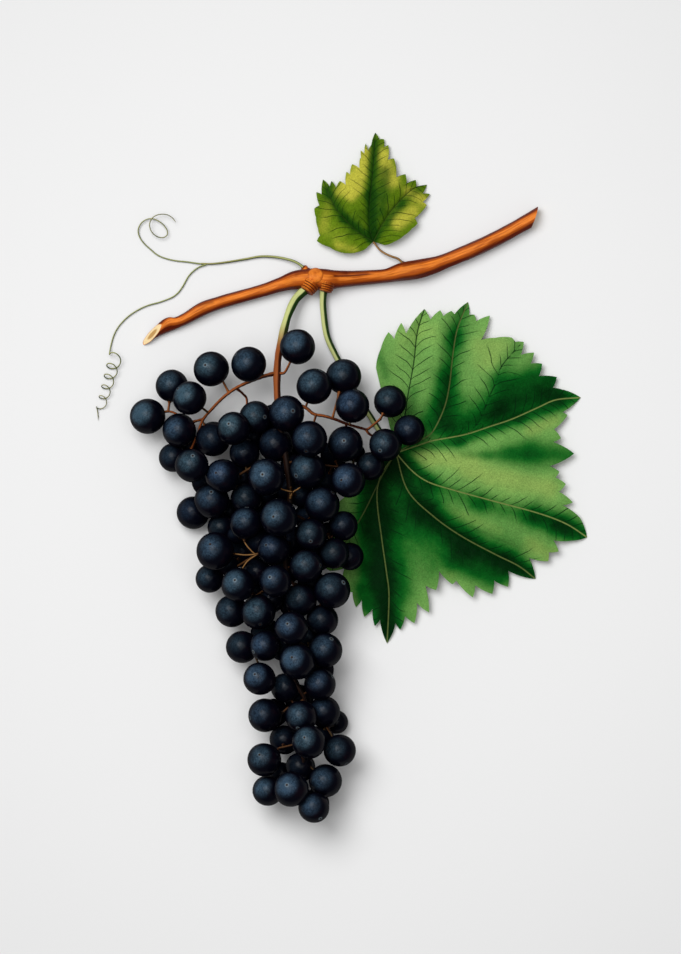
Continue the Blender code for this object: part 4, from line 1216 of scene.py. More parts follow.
    def pedicel(self, ball: Array, tip: Array, root: Array, ripe: float) -> Surface:
        """A berry's stalk, on the cubic curve that leaves the stem towards the berry and meets it end on. It
        is a third thicker at its root, and swells to a knob where it holds the berry.

        Args:
            ball: The berry.
            tip: The way that its tip points, along the grid.
            root: The point of the stem that it grows from.
            ripe: How brown it is.

        Returns:
            One surface with the fields grain, ripe, and side_shade and dim, both painted shade.
        """
        foot = ball[:3] - tip * ball[3] * self.pedicel_knob
        reach = np.linalg.norm(foot - root)
        t = np.linspace(0, 1, 18)[:, None]
        first = root + unit(foot - root) * reach * 0.35
        second = foot - tip * min(reach * 0.4, ball[3])
        route = root * (1 - t) ** 3 + 3 * first * t * (1 - t) ** 2 + 3 * second * t**2 * (1 - t) + foot * t**3
        swell = 1 + 0.35 * bell(t[:, 0], 0, 0.12) + 0.95 * bell(t[:, 0], self.pedicel_knob, 0.09)
        dim = 0.85 * ease(ball[1:2], *self.pedicels_dim_down)
        return tube(GRID.points(route), self.pedicel_radius * swell * GRID.step, 10, ripe=ripe, dim=dim)

    def build(self) -> None:
        """Makes the stems and five groups of berries."""
        balls = self.balls()
        roots = self.roots(balls)
        tips = self.tips(balls, roots)
        stems = self.stems(balls, tips, roots)
        stems.to_piece("stems", StemSkin("stem_skin").material(), "tendril_green", "bunch")
        skin = GrapeSkin("grape_skin").material()
        dusty = self.dust_and_shade(len(balls))
        groups = {"wing_berries": LEFT_WING + RIGHT_WING, "shoulder_berries": SHOULDER, "body_berries": BODY,
                  "lower_berries": WAIST + TAIL}
        first = 0
        for name, rows in groups.items():
            last = first + len(rows)
            part = slice(first, last)
            shell = self.berries(balls[part], tips[part], dusty[part], self.shell_grid, first)
            shell.to_piece(name, skin, "grape_skin")
            first = last
        hidden = self.berries(balls[first:], tips[first:], dusty[first:], self.hidden_grid, first)
        hidden.to_piece("inner_berries", GrapeSkin("inner_grape_skin", gloss=0.03).material(), "grape_skin")


@dataclass(frozen=True)
class Collar:
    """A ringed collar where a stalk leaves the cane: its foot inside the cane, its end, radius and rings."""

    foot: Place
    end: Place
    radius: float
    rings: int
    lean: float = 0.55
    steps: int = 90
    sides: int = 36
    plain_foot: float = 0.18
    groove_shade: float = 0.95
    side_shade_share: float = 0.6

    def surface(self) -> Surface:
        """Its tube: the radius narrows by a fifth to the end, each ring is a rounded ridge on it, and a point
        slides back along it by lean times its height over the middle line.

        Returns:
            The collar with the cane's fields.
        """
        share = np.linspace(0, 1, self.steps)
        path = GRID.points(np.array(self.foot) + share[:, None] * (np.array(self.end) - np.array(self.foot)))
        ringed = share > self.plain_foot
        turn = math.pi * self.rings * (share - self.plain_foot) / (1 - self.plain_foot)
        wave = np.abs(np.sin(turn)) ** 0.6
        ridges = np.where(ringed, wave, 0.5 * ease(share, 0.0, self.plain_foot))
        ends = ease(share, -0.12, 0.10) * (1 - 0.30 * ease(share, 0.86, 1.0))
        radii = self.radius * (1.0 - 0.18 * share**1.5) * (0.86 + 0.18 * ridges) * ends
        shade = np.where(ringed, self.groove_shade * ease(1 - wave, 0.10, 0.50), 0.0)
        grown = tube(path, radii * GRID.step, self.sides, shade=shade, cut=0.0, heart=0.0)
        over = grown.points[1:-1, 2] - np.repeat(path[:, 2], self.sides)
        grown.points[1:-1] -= self.lean * over[:, None] * unit(path[-1] - path[0])
        # Less painted shade on a collar's side away from the light.
        grown.fields["side_shade"] *= self.side_shade_share
        return grown


@dataclass
class Cane:
    """The cut piece of cane, with its nodes, its collars and its bud scar.

    Each cut is given by its middle and the way that it faces, the groove by where across the grid it
    starts, is deep, rises and stops, and the bud's bed by its axis' place down, its height and its radius.
    """

    line: Rows = (
        (141, 342.5, 4.4), (152, 334.5, 4.9), (171.8, 325.4, 5.1), (187, 317.5, 5.6), (202.4, 308.8, 6.6),
        (217, 303.5, 6.2), (233, 298.6, 6), (263.7, 290, 6.1), (281, 284.3, 6.9), (296, 279.8, 9.3),
        (312.6, 278.6, 10.3), (327, 279.7, 10.2), (338, 279.2, 8.6), (352, 278.4, 7.6), (370, 276.9, 6.8),
        (386, 275.4, 6.8), (401.4, 271.8, 8.8), (416.7, 269.4, 9.2), (432, 265.6, 8.3), (447.3, 260.2, 7.2),
        (477.9, 247.4, 7.3), (508.5, 232, 7), (537, 216, 7.4),
    )
    lift: float = 0.6
    arch: float = 1.6
    rings: int = 420
    sides: int = 64
    bark_over: float = 1.03
    relief: tuple[float, ...] = (0.022, 0.016, 0.012)
    slanting_cut: tuple[tuple[float, ...], tuple[float, ...]] = ((152.0, 334.2, 5.6), (-0.60, 0.21, 0.77))
    square_cut: tuple[tuple[float, ...], tuple[float, ...]] = ((534.3, 217.6, 8.0), (0.94, -0.31, -0.15))
    cut_reach: float = 24 * MM
    face_rings: int = 10
    face_core: float = 0.12
    wood_from: Pair = (0.02, 0.1)
    pith_from: Pair = (0.42, 0.60)
    collars: tuple[Collar, ...] = (
        Collar((312.4, 281.8, 17.6), (305.4, 291.6, 14.4), 9.2, 4),
        Collar((327.8, 281.4, 17.8), (325.0, 292.0, 13.4), 7.8, 4),
        Collar((405.5, 266.0, 9), (402.4, 262.2, 9), 2.5, 1),
        Collar((310.0, 274.0, 13), (302.8, 266.6, 11), 3.9, 2),
    )
    bud_scar: Pair = (315.4, 275.2)
    bud_radius: float = 7.6
    bud_bed: tuple[float, ...] = (278.7, 12.4, 11.2)
    bud_lift: float = 0.9
    bud_shade: float = 0.55
    bud_grain: float = 0.22
    groove: tuple[float, ...] = (329.0, 335.0, 355.0, 390.0)
    groove_turn: float = 0.42
    groove_width: float = 0.13
    groove_depth: float = 0.13
    edge_shade: float = 0.92
    edge_from: Pair = (0.50, 0.95)
    groove_shade: float = 0.95
    # Dark strokes, mostly along the cane's edges and beside the node, as painted shade: two ends, width and
    # strength.
    dark_strokes: Rows = (
        (321, 268, 346, 271.5, 3.8, 0.95), (346, 271.5, 366, 272, 2.8, 0.6), (305, 271, 322, 266, 2.2, 0.7),
        (330, 286, 350, 285, 2.6, 0.5), (296, 274, 306, 270, 2, 0.5), (404, 265, 420, 261, 2, 0.6),
        (398, 279, 425, 277, 2.4, 0.5), (198, 305, 212, 302, 1.8, 0.5), (168, 331, 180, 325, 2, 0.6),
    )

    def axis(self) -> tuple[Array, Array]:
        """Middle line, arched a little off the table between its ends.

        Returns:
            Its points and its radii in metres.
        """
        rows = smooth_line(self.line, self.rings)
        arch = self.arch * np.sin(np.linspace(0, math.pi, self.rings))
        rows_up = np.column_stack((rows[:, :2], rows[:, 2] + self.lift + arch))
        return GRID.points(rows_up), rows[:, 2] * GRID.step

    def bark_relief(self, a: Array, share: Array) -> Array:
        """The bark's radius against the shaft's: seven shallow ribs that wander, three folds that wind
        round, and knots, each made of sines of the turn and of the share of the length.

        Args:
            a: The turns of a ring's points.
            share: The rings' shares of the length.

        Returns:
            The radii by ring and side.
        """
        rib, fold, knot = self.relief
        ribs = rib * np.sin(7 * a + 3 * np.sin(9 * share)) + fold * np.sin(3 * a + 40 * share)
        knots = knot * np.sin(5 * a + 63 * share) * np.sin(91 * share) + knot * np.sin(57 * share)
        return 1 + ribs + knots

    def notch(self, grid_across: Array, from_top: Array) -> Array:
        """The groove beside the node: a bell curve round the cane, eased at the groove's ends.

        Args:
            grid_across: The rings' places across the grid.
            from_top: The turn of each point from the groove's line.

        Returns:
            A depth from 0 to 1 by ring and side.
        """
        starts, deep, rises, stops = self.groove
        in_groove = ease(grid_across, starts, deep) * ease(-grid_across, -stops, -rises)
        return in_groove[:, None] * bell(from_top, 0, self.groove_width)

    def shaft(self) -> Surface:
        """The shaft: rings along the axis with the bark's relief, less the groove. Near an end, points
        slide along the shaft so that the last ring lies on the cut.

        Returns:
            One surface with the fields grain, side_shade and shade, which are painted shade, and cut and
            heart.
        """
        path, radii = self.axis()
        along, aside, across = cross_ways(path)
        share = np.linspace(0, 1, self.rings)[:, None]
        a = turns(self.sides)[None]
        top_turn = np.arctan2(across[:, 2], aside[:, 2])[:, None]
        from_top = np.angle(np.exp(1j * (a - top_turn + self.groove_turn)))
        notch = self.notch(path[:, 0] / GRID.step + GRID.across, from_top)
        size = self.bark_over * radii[:, None] * (self.bark_relief(a, share) - self.groove_depth * notch)
        rim = np.cos(a)[..., None] * aside[:, None] + np.sin(a)[..., None] * across[:, None]
        points = path[:, None] + size[..., None] * rim
        for index, outward, (middle, facing) in ((0, -1, self.slanting_cut), (-1, 1, self.square_cut)):
            facing = unit(np.array(facing))
            way = along[index] * outward
            slide = -((points[index] - GRID.points((middle,))[0]) @ facing) / (way @ facing)
            near = ease(-np.linalg.norm(path - path[index], axis=1), -self.cut_reach, 0.0)
            points = points + near[:, None, None] * slide[None, :, None] * way
        plain = np.zeros(self.rings)
        grown = tube(path, size, self.sides, shade=plain, cut=plain, heart=plain)
        # Painted shade along the upper edge as well as on the side away from the light.
        upper_edge_shade = self.edge_shade * ease(-rim[..., 2], -self.edge_from[1], -self.edge_from[0]).ravel()
        grown.fields["side_shade"][1:-1] = np.maximum(grown.fields["side_shade"][1:-1], upper_edge_shade)
        spots = (points / GRID.step * (1, -1, 1) + (GRID.across, GRID.down, 0))[..., :2].reshape(-1, 2)
        dark_strokes = painted(spots, self.dark_strokes) * (rim[..., 2] > 0).ravel()
        grown.fields["shade"][1:-1] = np.maximum(self.groove_shade * ease(notch, 0.2, 0.7).ravel(), dark_strokes)
        grown.points[1:-1] = points.reshape(-1, 3)
        return Surface.joined([self.open_ends(grown), self.face(points[0], Spin.INWARD),
                               self.face(points[-1], Spin.OUTWARD)])

    @staticmethod
    def open_ends(shell: Surface) -> Surface:
        """Takes the two pole fans off a tube, where cut faces close it."""
        fields = {name: values[1:-1] for name, values in shell.fields.items()}
        return Surface(shell.points[1:-1], shell.quads - 1, np.zeros((0, 3), int), fields)

    def face(self, rim: Array, spin: Spin) -> Surface:
        """A cut face: rings from the rim to its middle, each the rim drawn in by an equal share.

        Args:
            rim: The points of the rim.
            spin: Which way round its faces go.

        Returns:
            The face with its wood and its pith marked.
        """
        sides = len(rim)
        middle = rim.mean(axis=0)
        share = np.linspace(1, self.face_core, self.face_rings)
        points = np.vstack(((middle + share[:, None, None] * (rim - middle)).reshape(-1, 3), middle[None]))
        quads = grid_quads(self.face_rings, sides, closed=True)
        turn, last = np.arange(sides), (self.face_rings - 1) * sides
        tris = np.stack((last + turn, last + (turn + 1) % sides, np.full(sides, last + sides)), -1)
        if spin is Spin.INWARD:
            quads, tris = quads[:, ::-1], tris[:, ::-1]
        inwards = 1 - np.concatenate((np.repeat(share, sides), [0.0]))
        plain = np.zeros(len(points))
        return Surface(points, quads, tris, {
            "grain": points / MM, "side_shade": plain, "shade": plain,
            "cut": ease(inwards, *self.wood_from), "heart": ease(inwards, *self.pith_from),
        })

    def scar(self) -> Surface:
        """The bud scar: a disc bent round the cane. At share s of its radius it stands bud_lift (1 - s³)
        over the circle that its bed gives.

        Returns:
            The scar with the cane's fields, and a pole inside the cane.
        """
        rings, sides = 20, 48
        share = np.linspace(0.05, 1, rings)[:, None]
        a = turns(sides)[None]
        axis_down, axis_height, bed = self.bud_bed
        down = self.bud_scar[1] - self.bud_radius * share * np.sin(a)
        on_bed = axis_height + np.sqrt(np.clip(bed**2 - (down - axis_down) ** 2, 1.0, None))
        height = on_bed + self.bud_lift * (1 - share**3)
        across = self.bud_scar[0] + self.bud_radius * share * np.cos(a)
        rows = np.stack((across, down, height), -1).reshape(-1, 3)
        middle = np.array((*self.bud_scar, rows[:sides, 2].mean()))
        points = GRID.points(np.vstack((middle[None], rows, middle[None] - (0, 0, 8))))
        quads, tris = tube_faces(rings, sides)
        edge = np.concatenate(([0.0], np.repeat(ease(share[:, 0], 0.84, 1.0), sides), [1.0]))
        plain = np.zeros(len(points))
        return Surface(points, quads, tris, {
            "grain": points / MM * self.bud_grain, "side_shade": plain, "shade": self.bud_shade * edge,
            "cut": plain, "heart": plain,
        })

    def build(self) -> None:
        """Makes the cane in one piece."""
        parts = [self.shaft(), self.scar(), *(collar.surface() for collar in self.collars)]
        Surface.joined(parts).to_piece("bark", CaneBark("cane_bark").material(), "cane_bark", "cane")


@dataclass
class GrapeLeaf:
    """A lobed, toothed, pleated leaf with its stalk. Each vein ends at a tip of the outline.

    Shades and suns are strokes of dark green and of yellow, and a vein's tone is how pale it is.
    """

    name: str
    node: str
    slot: str
    finish: LeafBlade
    base: Pair
    outline: Rows
    veins: tuple[Rows, ...]
    tones: tuple[float, ...]
    base_height: float
    pleat_height: float
    dome_height: float
    shades: Rows
    suns: Rows
    stalk: Rows
    stalk_radii: Pair
    twigs: tuple[Rows, ...] = ()
    stalk_ripe: float = 0.0
    rings: int = 84
    ring_crowding: float = 1.15
    margin_steps: int = 5
    margin_bow: float = 0.05
    thickness: float = 0.55 * MM
    least_thickness: float = 0.35 * MM
    least_gap: float = 0.02 * MM
    edge_height: float = 1.0
    flat_under_bunch: float = 50.0
    puff_height: float = 0.35
    puff_in: Pair = (0.6, 3.0)
    puff_out: Pair = (5.0, 12.0)
    ripple_height: float = 0.9
    ripple_turns: Pair = (0.21, 0.17)
    furrow: Pair = (0.8, 0.6)
    rib: Pair = (1.1 * MM, 0.55)

    def margin(self) -> Array:
        """The outline with margin_steps points to each stretch, bowed out by a share of it in its middle.

        Returns:
            The points, as places on the grid.
        """
        rows = np.array(self.outline)
        t = (np.arange(self.margin_steps) / self.margin_steps)[None, :, None]
        start, end = rows[:-1, None], rows[1:, None]
        chord = end - start
        outward = np.stack((chord[..., 1], -chord[..., 0]), axis=-1)
        bowed = start + chord * t + self.margin_bow * 4 * t * (1 - t) * outward
        return np.vstack((bowed.reshape(-1, 2), rows[-1:]))

    def bend(self, vein: Rows, reach: Array) -> Array:
        """How far a vein stands off the straight line from base to tip.

        Args:
            vein: The vein's rows.
            reach: Shares of its length.

        Returns:
            The way off at each share.
        """
        line = smooth_line((self.base, *vein), 200)
        on_vein = np.column_stack([np.interp(reach, np.linspace(0, 1, 200), column) for column in line.T])
        return on_vein - (line[0] + reach[:, None] * (line[-1] - line[0]))

    def rays(self, reach: Array) -> tuple[Array, Array]:
        """The blade seen from above. Point (i, j) lies reach i of the way from the base to margin point j,
        moved by the bends of the two veins on its sides, each by its nearness in angle.

        Args:
            reach: The rings' shares of the way out.

        Returns:
            The points, and each margin point's share of the way across its sector.
        """
        base = np.array(self.base)
        margin = self.margin()
        tips = [int(np.argmin(np.linalg.norm(margin - vein[-1], axis=1))) for vein in self.veins]
        straight = np.zeros((len(reach), 2))
        bends = [straight, *(self.bend(vein, reach) for vein in self.veins), straight]
        stops = [0, *tips, len(margin) - 1]
        share = np.zeros(len(margin))
        rays = base + reach[:, None, None] * (margin - base)
        for index, (start, end) in enumerate(zip(stops, stops[1:])):
            way = margin[start:end + 1] - base
            turn = np.unwrap(np.arctan2(way[:, 1], way[:, 0]))
            part = np.clip((turn - turn[0]) / (turn[-1] - turn[0]), 0, 1)
            share[start:end + 1] = part
            bent = (1 - part)[:, None] * bends[index][:, None] + part[:, None] * bends[index + 1][:, None]
            rays[:, start:end] += bent[:, :-1]
        share[tips] = 0
        return rays, share

    def height(self, share: Array, reach: Array, clear: Array) -> Array:
        """Height of the blade: low at base and margin, with a sine pleat across each sector and a dome.

        Args:
            share: Each point's share of the way across its sector.
            reach: Its share of the way out.
            clear: How clear of the bunch it is, from 0 to 1.

        Returns:
            Heights in steps.
        """
        low = self.base_height + (self.edge_height - self.base_height) * reach
        pleat = self.pleat_height * np.sin(math.pi * share) ** 0.8 * reach * (1 - 0.55 * reach**2)
        dome = self.dome_height * 3.2 * reach * (1 - reach)
        return low + (pleat + dome) * clear

    def nearest_vein(self, flat: Array) -> tuple[Array, Array, Array]:
        """The way from each point to the nearest main vein, worked out for a block of points at a time.

        Args:
            flat: The points, as places on the grid.

        Returns:
            The way off it and the way along it in millimetres, and its number.
        """
        best = np.full(len(flat), np.inf)
        along = np.zeros(len(flat))
        number = np.zeros(len(flat))
        block = 8000
        for index, route in enumerate([(self.base, *vein) for vein in self.veins] + list(self.twigs)):
            line = smooth_line(route, 90)
            step = np.linalg.norm(np.diff(line, axis=0), axis=1).mean()
            for start in range(0, len(flat), block):
                part = slice(start, start + block)
                ways = flat[part, None] - line[None, :-1]
                chord = (line[1:] - line[:-1])[None]
                on = np.clip((ways * chord).sum(-1) / (chord**2).sum(-1), 0, 1)
                gap = np.linalg.norm(ways - on[..., None] * chord, axis=-1)
                nearest = gap.argmin(axis=1)
                row = np.arange(len(nearest))
                closer = gap[row, nearest] < best[part]
                along[part] = np.where(closer, (nearest + on[row, nearest]) * step, along[part])
                number[part] = np.where(closer, index, number[part])
                best[part] = np.minimum(best[part], gap[row, nearest])
        scale = GRID.step / MM
        return best * scale, along * scale, number

    def outness(self, reach: Array, span: Array) -> Array:
        """How far out a point lies against the crest of the margin, so that a notch doesn't count as its end.

        Args:
            reach: The rings' shares of the way out.
            span: The length of each ray.

        Returns:
            Shares by ring and ray.
        """
        wide = 5 * self.margin_steps
        windows = np.lib.stride_tricks.sliding_window_view(np.pad(span, wide // 2, mode="edge"), wide)
        crest = np.max(windows, axis=1)
        crest = np.convolve(np.pad(crest, wide // 2, mode="edge"), np.ones(wide) / wide, "valid")[:len(span)]
        return reach[:, None] * span / np.maximum(span, crest)

    def clear_of_bunch(self, flat: Array, berries: Array) -> Array:
        """How clear of the bunch each point is, eased from 0 under a berry to 1.

        Args:
            flat: The points, as places on the grid.
            berries: The berries.

        Returns:
            A share for each point.
        """
        away = np.full(len(flat), np.inf)
        for across, down, _, radius in berries:
            away = np.minimum(away, np.hypot(flat[:, 0] - across, flat[:, 1] - down) - radius)
        return ease(away, 0, self.flat_under_bunch)

    def blade(self, berries: Array) -> Surface:
        """The blade as two skins, thickness apart, closed along the margin and both sides of the stalk. Side
        veins puff it up between them, slow ripples cross its outer half, and a furrow above and a rib below
        follow each main vein as bell curves.

        Args:
            berries: The berries, under which the blade lies flat.

        Returns:
            One surface with the fields that its finish reads.
        """
        reach = 1 - (1 - np.linspace(0, 1, self.rings + 1)[1:]) ** self.ring_crowding
        rays, share = self.rays(reach)
        base = np.array(self.base)
        far = self.outness(reach, np.linalg.norm(rays[-1] - base, axis=1))
        flat = np.vstack((base[None], rays.reshape(-1, 2)))
        clear = self.clear_of_bunch(flat, berries)
        off, along, number = self.nearest_vein(flat)
        fars = np.concatenate(([0], far.ravel()))
        height = self.height(np.concatenate(([0], np.tile(share, self.rings))), fars, clear)
        puff = np.sin(along * 2 * math.pi / self.finish.spacing)
        puff = puff * ease(off, *self.puff_in) * ease(-off, -self.puff_out[1], -self.puff_out[0])
        turn_across, turn_down = self.ripple_turns
        ripple = np.sin(flat[:, 0] * turn_across + 1.0) * np.sin(flat[:, 1] * turn_down)
        ripple = ripple * ease(fars, 0.5, 1.0)
        furrow = self.furrow[0] * bell(off, 0, self.furrow[1]) * (1 - 0.7 * fars)
        height = height + clear * (self.puff_height * puff + self.ripple_height * ripple) - furrow
        top = GRID.points(np.column_stack((flat, height)))
        rib = self.rib[0] * bell(off, 0, self.rib[1]) * (1 - 0.75 * fars)
        under = top - np.column_stack((np.zeros((len(top), 2)), self.thickness + rib))
        under[:, 2] = np.maximum(under[:, 2], self.least_gap)
        top[:, 2] = np.maximum(top[:, 2], under[:, 2] + self.least_thickness)
        quads, tris = self.skin_faces(len(share))
        wall = self.edge(len(share))
        count = len(top)
        rim_quads = np.stack((wall, np.roll(wall, -1), np.roll(wall, -1) + count, wall + count), axis=-1)
        tone = np.array(self.tones)[number.astype(int)]
        fields = {"off": off, "along": along, "vein": number, "tone": tone,
                  "shade": painted(flat, self.shades), "sun": painted(flat, self.suns)}
        fields = {name: np.concatenate((values, values)) for name, values in fields.items()}
        fields["upper"] = np.concatenate((np.ones(count), np.zeros(count)))
        return Surface(
            np.vstack((top, under)),
            np.vstack((quads, quads[:, ::-1] + count, rim_quads[:, ::-1])),
            np.vstack((tris, tris[:, ::-1] + count)),
            fields,
        )

    def skin_faces(self, count: int) -> tuple[Array, Array]:
        """Faces of one skin: a fan from the base, then quads from ring to ring, facing up.

        Args:
            count: Points in a ring.

        Returns:
            The quads and the triangles.
        """
        turn = np.arange(count - 1)
        fan = np.stack((np.zeros(count - 1, int), 2 + turn, 1 + turn), axis=-1)
        return 1 + grid_quads(self.rings, count, closed=False), fan

    def edge(self, count: int) -> Array:
        """The points round the open edge: out along the first ray, round the margin, back along the last.

        Args:
            count: Points in a ring.

        Returns:
            Their numbers, in order.
        """
        rings = np.arange(self.rings)
        margin = 1 + (self.rings - 1) * count + np.arange(1, count - 1)
        return np.concatenate(([0], 1 + rings * count, margin, (rings * count + count)[::-1]))

    def build(self, berries: Array) -> None:
        """Makes the blade and its stalk, which is thicker at both ends.

        Args:
            berries: The berries, under which the blade lies flat.
        """
        self.blade(berries).to_piece(self.name, self.finish.material(), self.slot, self.node)
        line = smooth_line(self.stalk, 120)
        share = np.linspace(0, 1, len(line))
        radii = taper(self.stalk_radii, share)
        radii = radii * (1 + 0.25 * bell(share, 0, 0.04) + 0.2 * bell(share, 1, 0.04))
        stalk = tube(GRID.points(line), radii * GRID.step, 20, ripe=self.stalk_ripe, dim=0.0)
        stalk.to_piece(f"{self.name}_stalk", StemSkin(f"{self.name}_stalk_skin").material(), "tendril_green")


def large_leaf() -> GrapeLeaf:
    """The leaf behind the bunch.

    Returns:
        The leaf with its own outline, veins and colour zones.
    """
    return GrapeLeaf(
        "large_blade", "large_leaf", "leaf_green", LeafBlade("large_blade_green"),
        base=(396.0, 453.0),
        outline=(
            (376, 367.9), (380.7, 349), (388.5, 332), (394.2, 339.1), (401.3, 322.6), (406, 333.7),
            (424.4, 308.9), (430.3, 319.5), (440.2, 310.1), (443.3, 316), (451.5, 310.8), (454.6, 314.1),
            (468.1, 301.8), (469.3, 314.8), (474.4, 314.5), (476.3, 321.2), (490, 315.5), (481.1, 340),
            (495.2, 337.7), (511.7, 337.4), (515.3, 341.7), (524, 341.9), (520.7, 354.9), (534.2, 352.5),
            (530.6, 363.6), (542.4, 363.6), (538.9, 376.1), (557, 376.9), (553, 387.9), (561.3, 389.1),
            (580.9, 397.4), (562.5, 412.2), (567.7, 415.1), (554.2, 429.2), (561.1, 438.2), (553.2, 442),
            (574.3, 453.6), (549.7, 466.2), (559.5, 471.7), (555.6, 477.6), (566, 484), (559.1, 491.8),
            (573.1, 502.4), (562.7, 505.2), (580.2, 517.8), (587.3, 537.3), (570.7, 540.9), (553.2, 540.2),
            (558.9, 551.5), (549, 552.4), (548.3, 561.4), (529.1, 557.9), (535.8, 579.1), (508.4, 571),
            (508.2, 586.9), (494.2, 580.5), (492.4, 594), (475.3, 585.2), (472.8, 597.5), (456.3, 580.5),
            (452.3, 584.4), (439, 570.9), (436.2, 590.2), (424.9, 585), (429.1, 612.6), (416.9, 602.9),
            (414.5, 623.3), (405.1, 616.1), (400.3, 629.9), (395.6, 623.1), (387.1, 643.5), (380, 619.6),
            (374.8, 626.3), (372.5, 609), (364.2, 616.9), (361.9, 599.5), (356, 607.4), (352.4, 592.5),
            (343, 588.4), (344.2, 568.5), (329.6, 570.9), (321.4, 563.8), (331.2, 544.9), (326.3, 535.5),
            (335.9, 522.5), (332.4, 509.5), (344.2, 497.7), (343, 485.9), (353.6, 478.8), (365.4, 469.4),
        ),
        veins=(
            ((405, 415), (407.9, 395.6), (413.7, 363.3), (417.4, 332.5), (424.4, 308.9)),
            ((412, 444), (426.5, 437), (434.5, 429), (444.5, 407.3), (449.5, 385), (453.3, 351.6),
             (457.7, 328), (468.1, 301.8)),
            ((415, 446.5), (432, 440.8), (450.4, 437.4), (468, 433.7), (490, 426.4), (512, 419),
             (538.4, 407.3), (556, 399.8), (580.9, 397.4)),
            ((412.3, 471), (428.4, 482), (453.3, 490), (495.2, 501.5), (537.7, 513), (566, 523.7),
             (587.3, 537.3)),
            ((407.9, 490.6), (433.8, 516.6), (462.2, 536.6), (495.2, 554.3), (518.8, 566.1), (535.8, 579.1)),
            ((384.3, 469.4), (378.4, 483.5), (377.2, 502.4), (381.9, 540.2), (386.6, 573.2), (389, 596.8),
             (387.1, 643.5)),
            ((381, 478), (363, 514.2), (343, 545), (321.4, 563.8)),
        ),
        twigs=(((468, 434), (480, 420), (488, 400), (497, 380), (502.5, 365), (520, 345)),),
        tones=(0.0, 0.45, 0.9, 1.0, 0.6, 0.5, 0.3, 0.0),
        base_height=3.6, pleat_height=17.0, dome_height=9.0,
        shades=(
            (440, 425, 447, 380, 12, 0.66), (447, 380, 455, 338, 12, 0.60), (455, 338, 463, 310, 11, 0.48),
            (448, 425, 455, 400, 13, 0.45), (455, 428, 500, 412, 15, 0.74), (500, 408, 552, 390, 18, 0.82),
            (508, 386, 548, 372, 15, 0.66), (470, 405, 500, 385, 13, 0.22), (496, 380, 516, 350, 9, 0.34),
            (408, 448, 460, 442, 6, 0.5), (460, 441, 520, 418, 6, 0.5), (520, 418, 562, 403, 8, 0.6),
            (545, 396, 578, 398, 10, 0.60), (465, 455, 490, 455, 5, 0.3), (488, 455, 510, 454, 8, 0.36),
            (508, 454, 530, 453, 12, 0.48), (530, 453, 572, 455, 15, 0.60), (400, 458, 430, 483, 10, 0.68),
            (430, 485, 480, 503, 11, 0.46), (480, 503, 535, 518, 12, 0.50), (535, 516, 566, 527, 13, 0.74),
            (560, 526, 585, 535, 12, 0.78), (395, 468, 425, 510, 16, 0.85), (425, 512, 465, 545, 17, 0.92),
            (465, 547, 505, 562, 17, 0.96), (505, 563, 530, 574, 12, 0.92), (455, 562, 495, 580, 13, 0.62),
            (412, 512, 440, 555, 16, 0.42), (378, 470, 380, 520, 20, 0.95), (378, 520, 380, 575, 20, 0.99),
            (382, 575, 388, 632, 20, 1), (400, 505, 406, 590, 15, 0.38), (366, 480, 368, 540, 10, 0.55),
            (360, 590, 366, 606, 8, 0.5), (408, 425, 414, 390, 8, 0.35), (420, 430, 440, 405, 14, 0.55),
            (378, 352, 386, 376, 6, 0.35), (385, 440, 395, 470, 13, 0.85), (500, 535, 550, 548, 10, 0.18),
            (430, 505, 500, 528, 14, 0.10), (415, 535, 432, 575, 13, 0.30),
        ),
        suns=(
            (405, 340, 430, 330, 16, 0.3), (480, 345, 505, 345, 14, 0.6), (480, 365, 490, 360, 12, 0.5),
            (420, 456, 470, 462, 10, 0.9), (470, 470, 550, 488, 12, 0.75), (530, 430, 556, 420, 8, 0.7),
            (440, 508, 500, 530, 7, 0.4), (530, 543, 552, 556, 9, 0.7), (435, 545, 450, 572, 9, 0.4),
        ),
        stalk=((323.9, 288.4, 10), (323.2, 296, 9.4), (323.3, 309, 8.6), (326.6, 334, 7.6), (334, 352, 6.6),
               (345, 372, 5.2), (358, 396, 4.6), (374, 422, 4.4), (388, 443, 4), (398, 455.5, 3.6)),
        stalk_radii=(3.3, 2.7),
    )


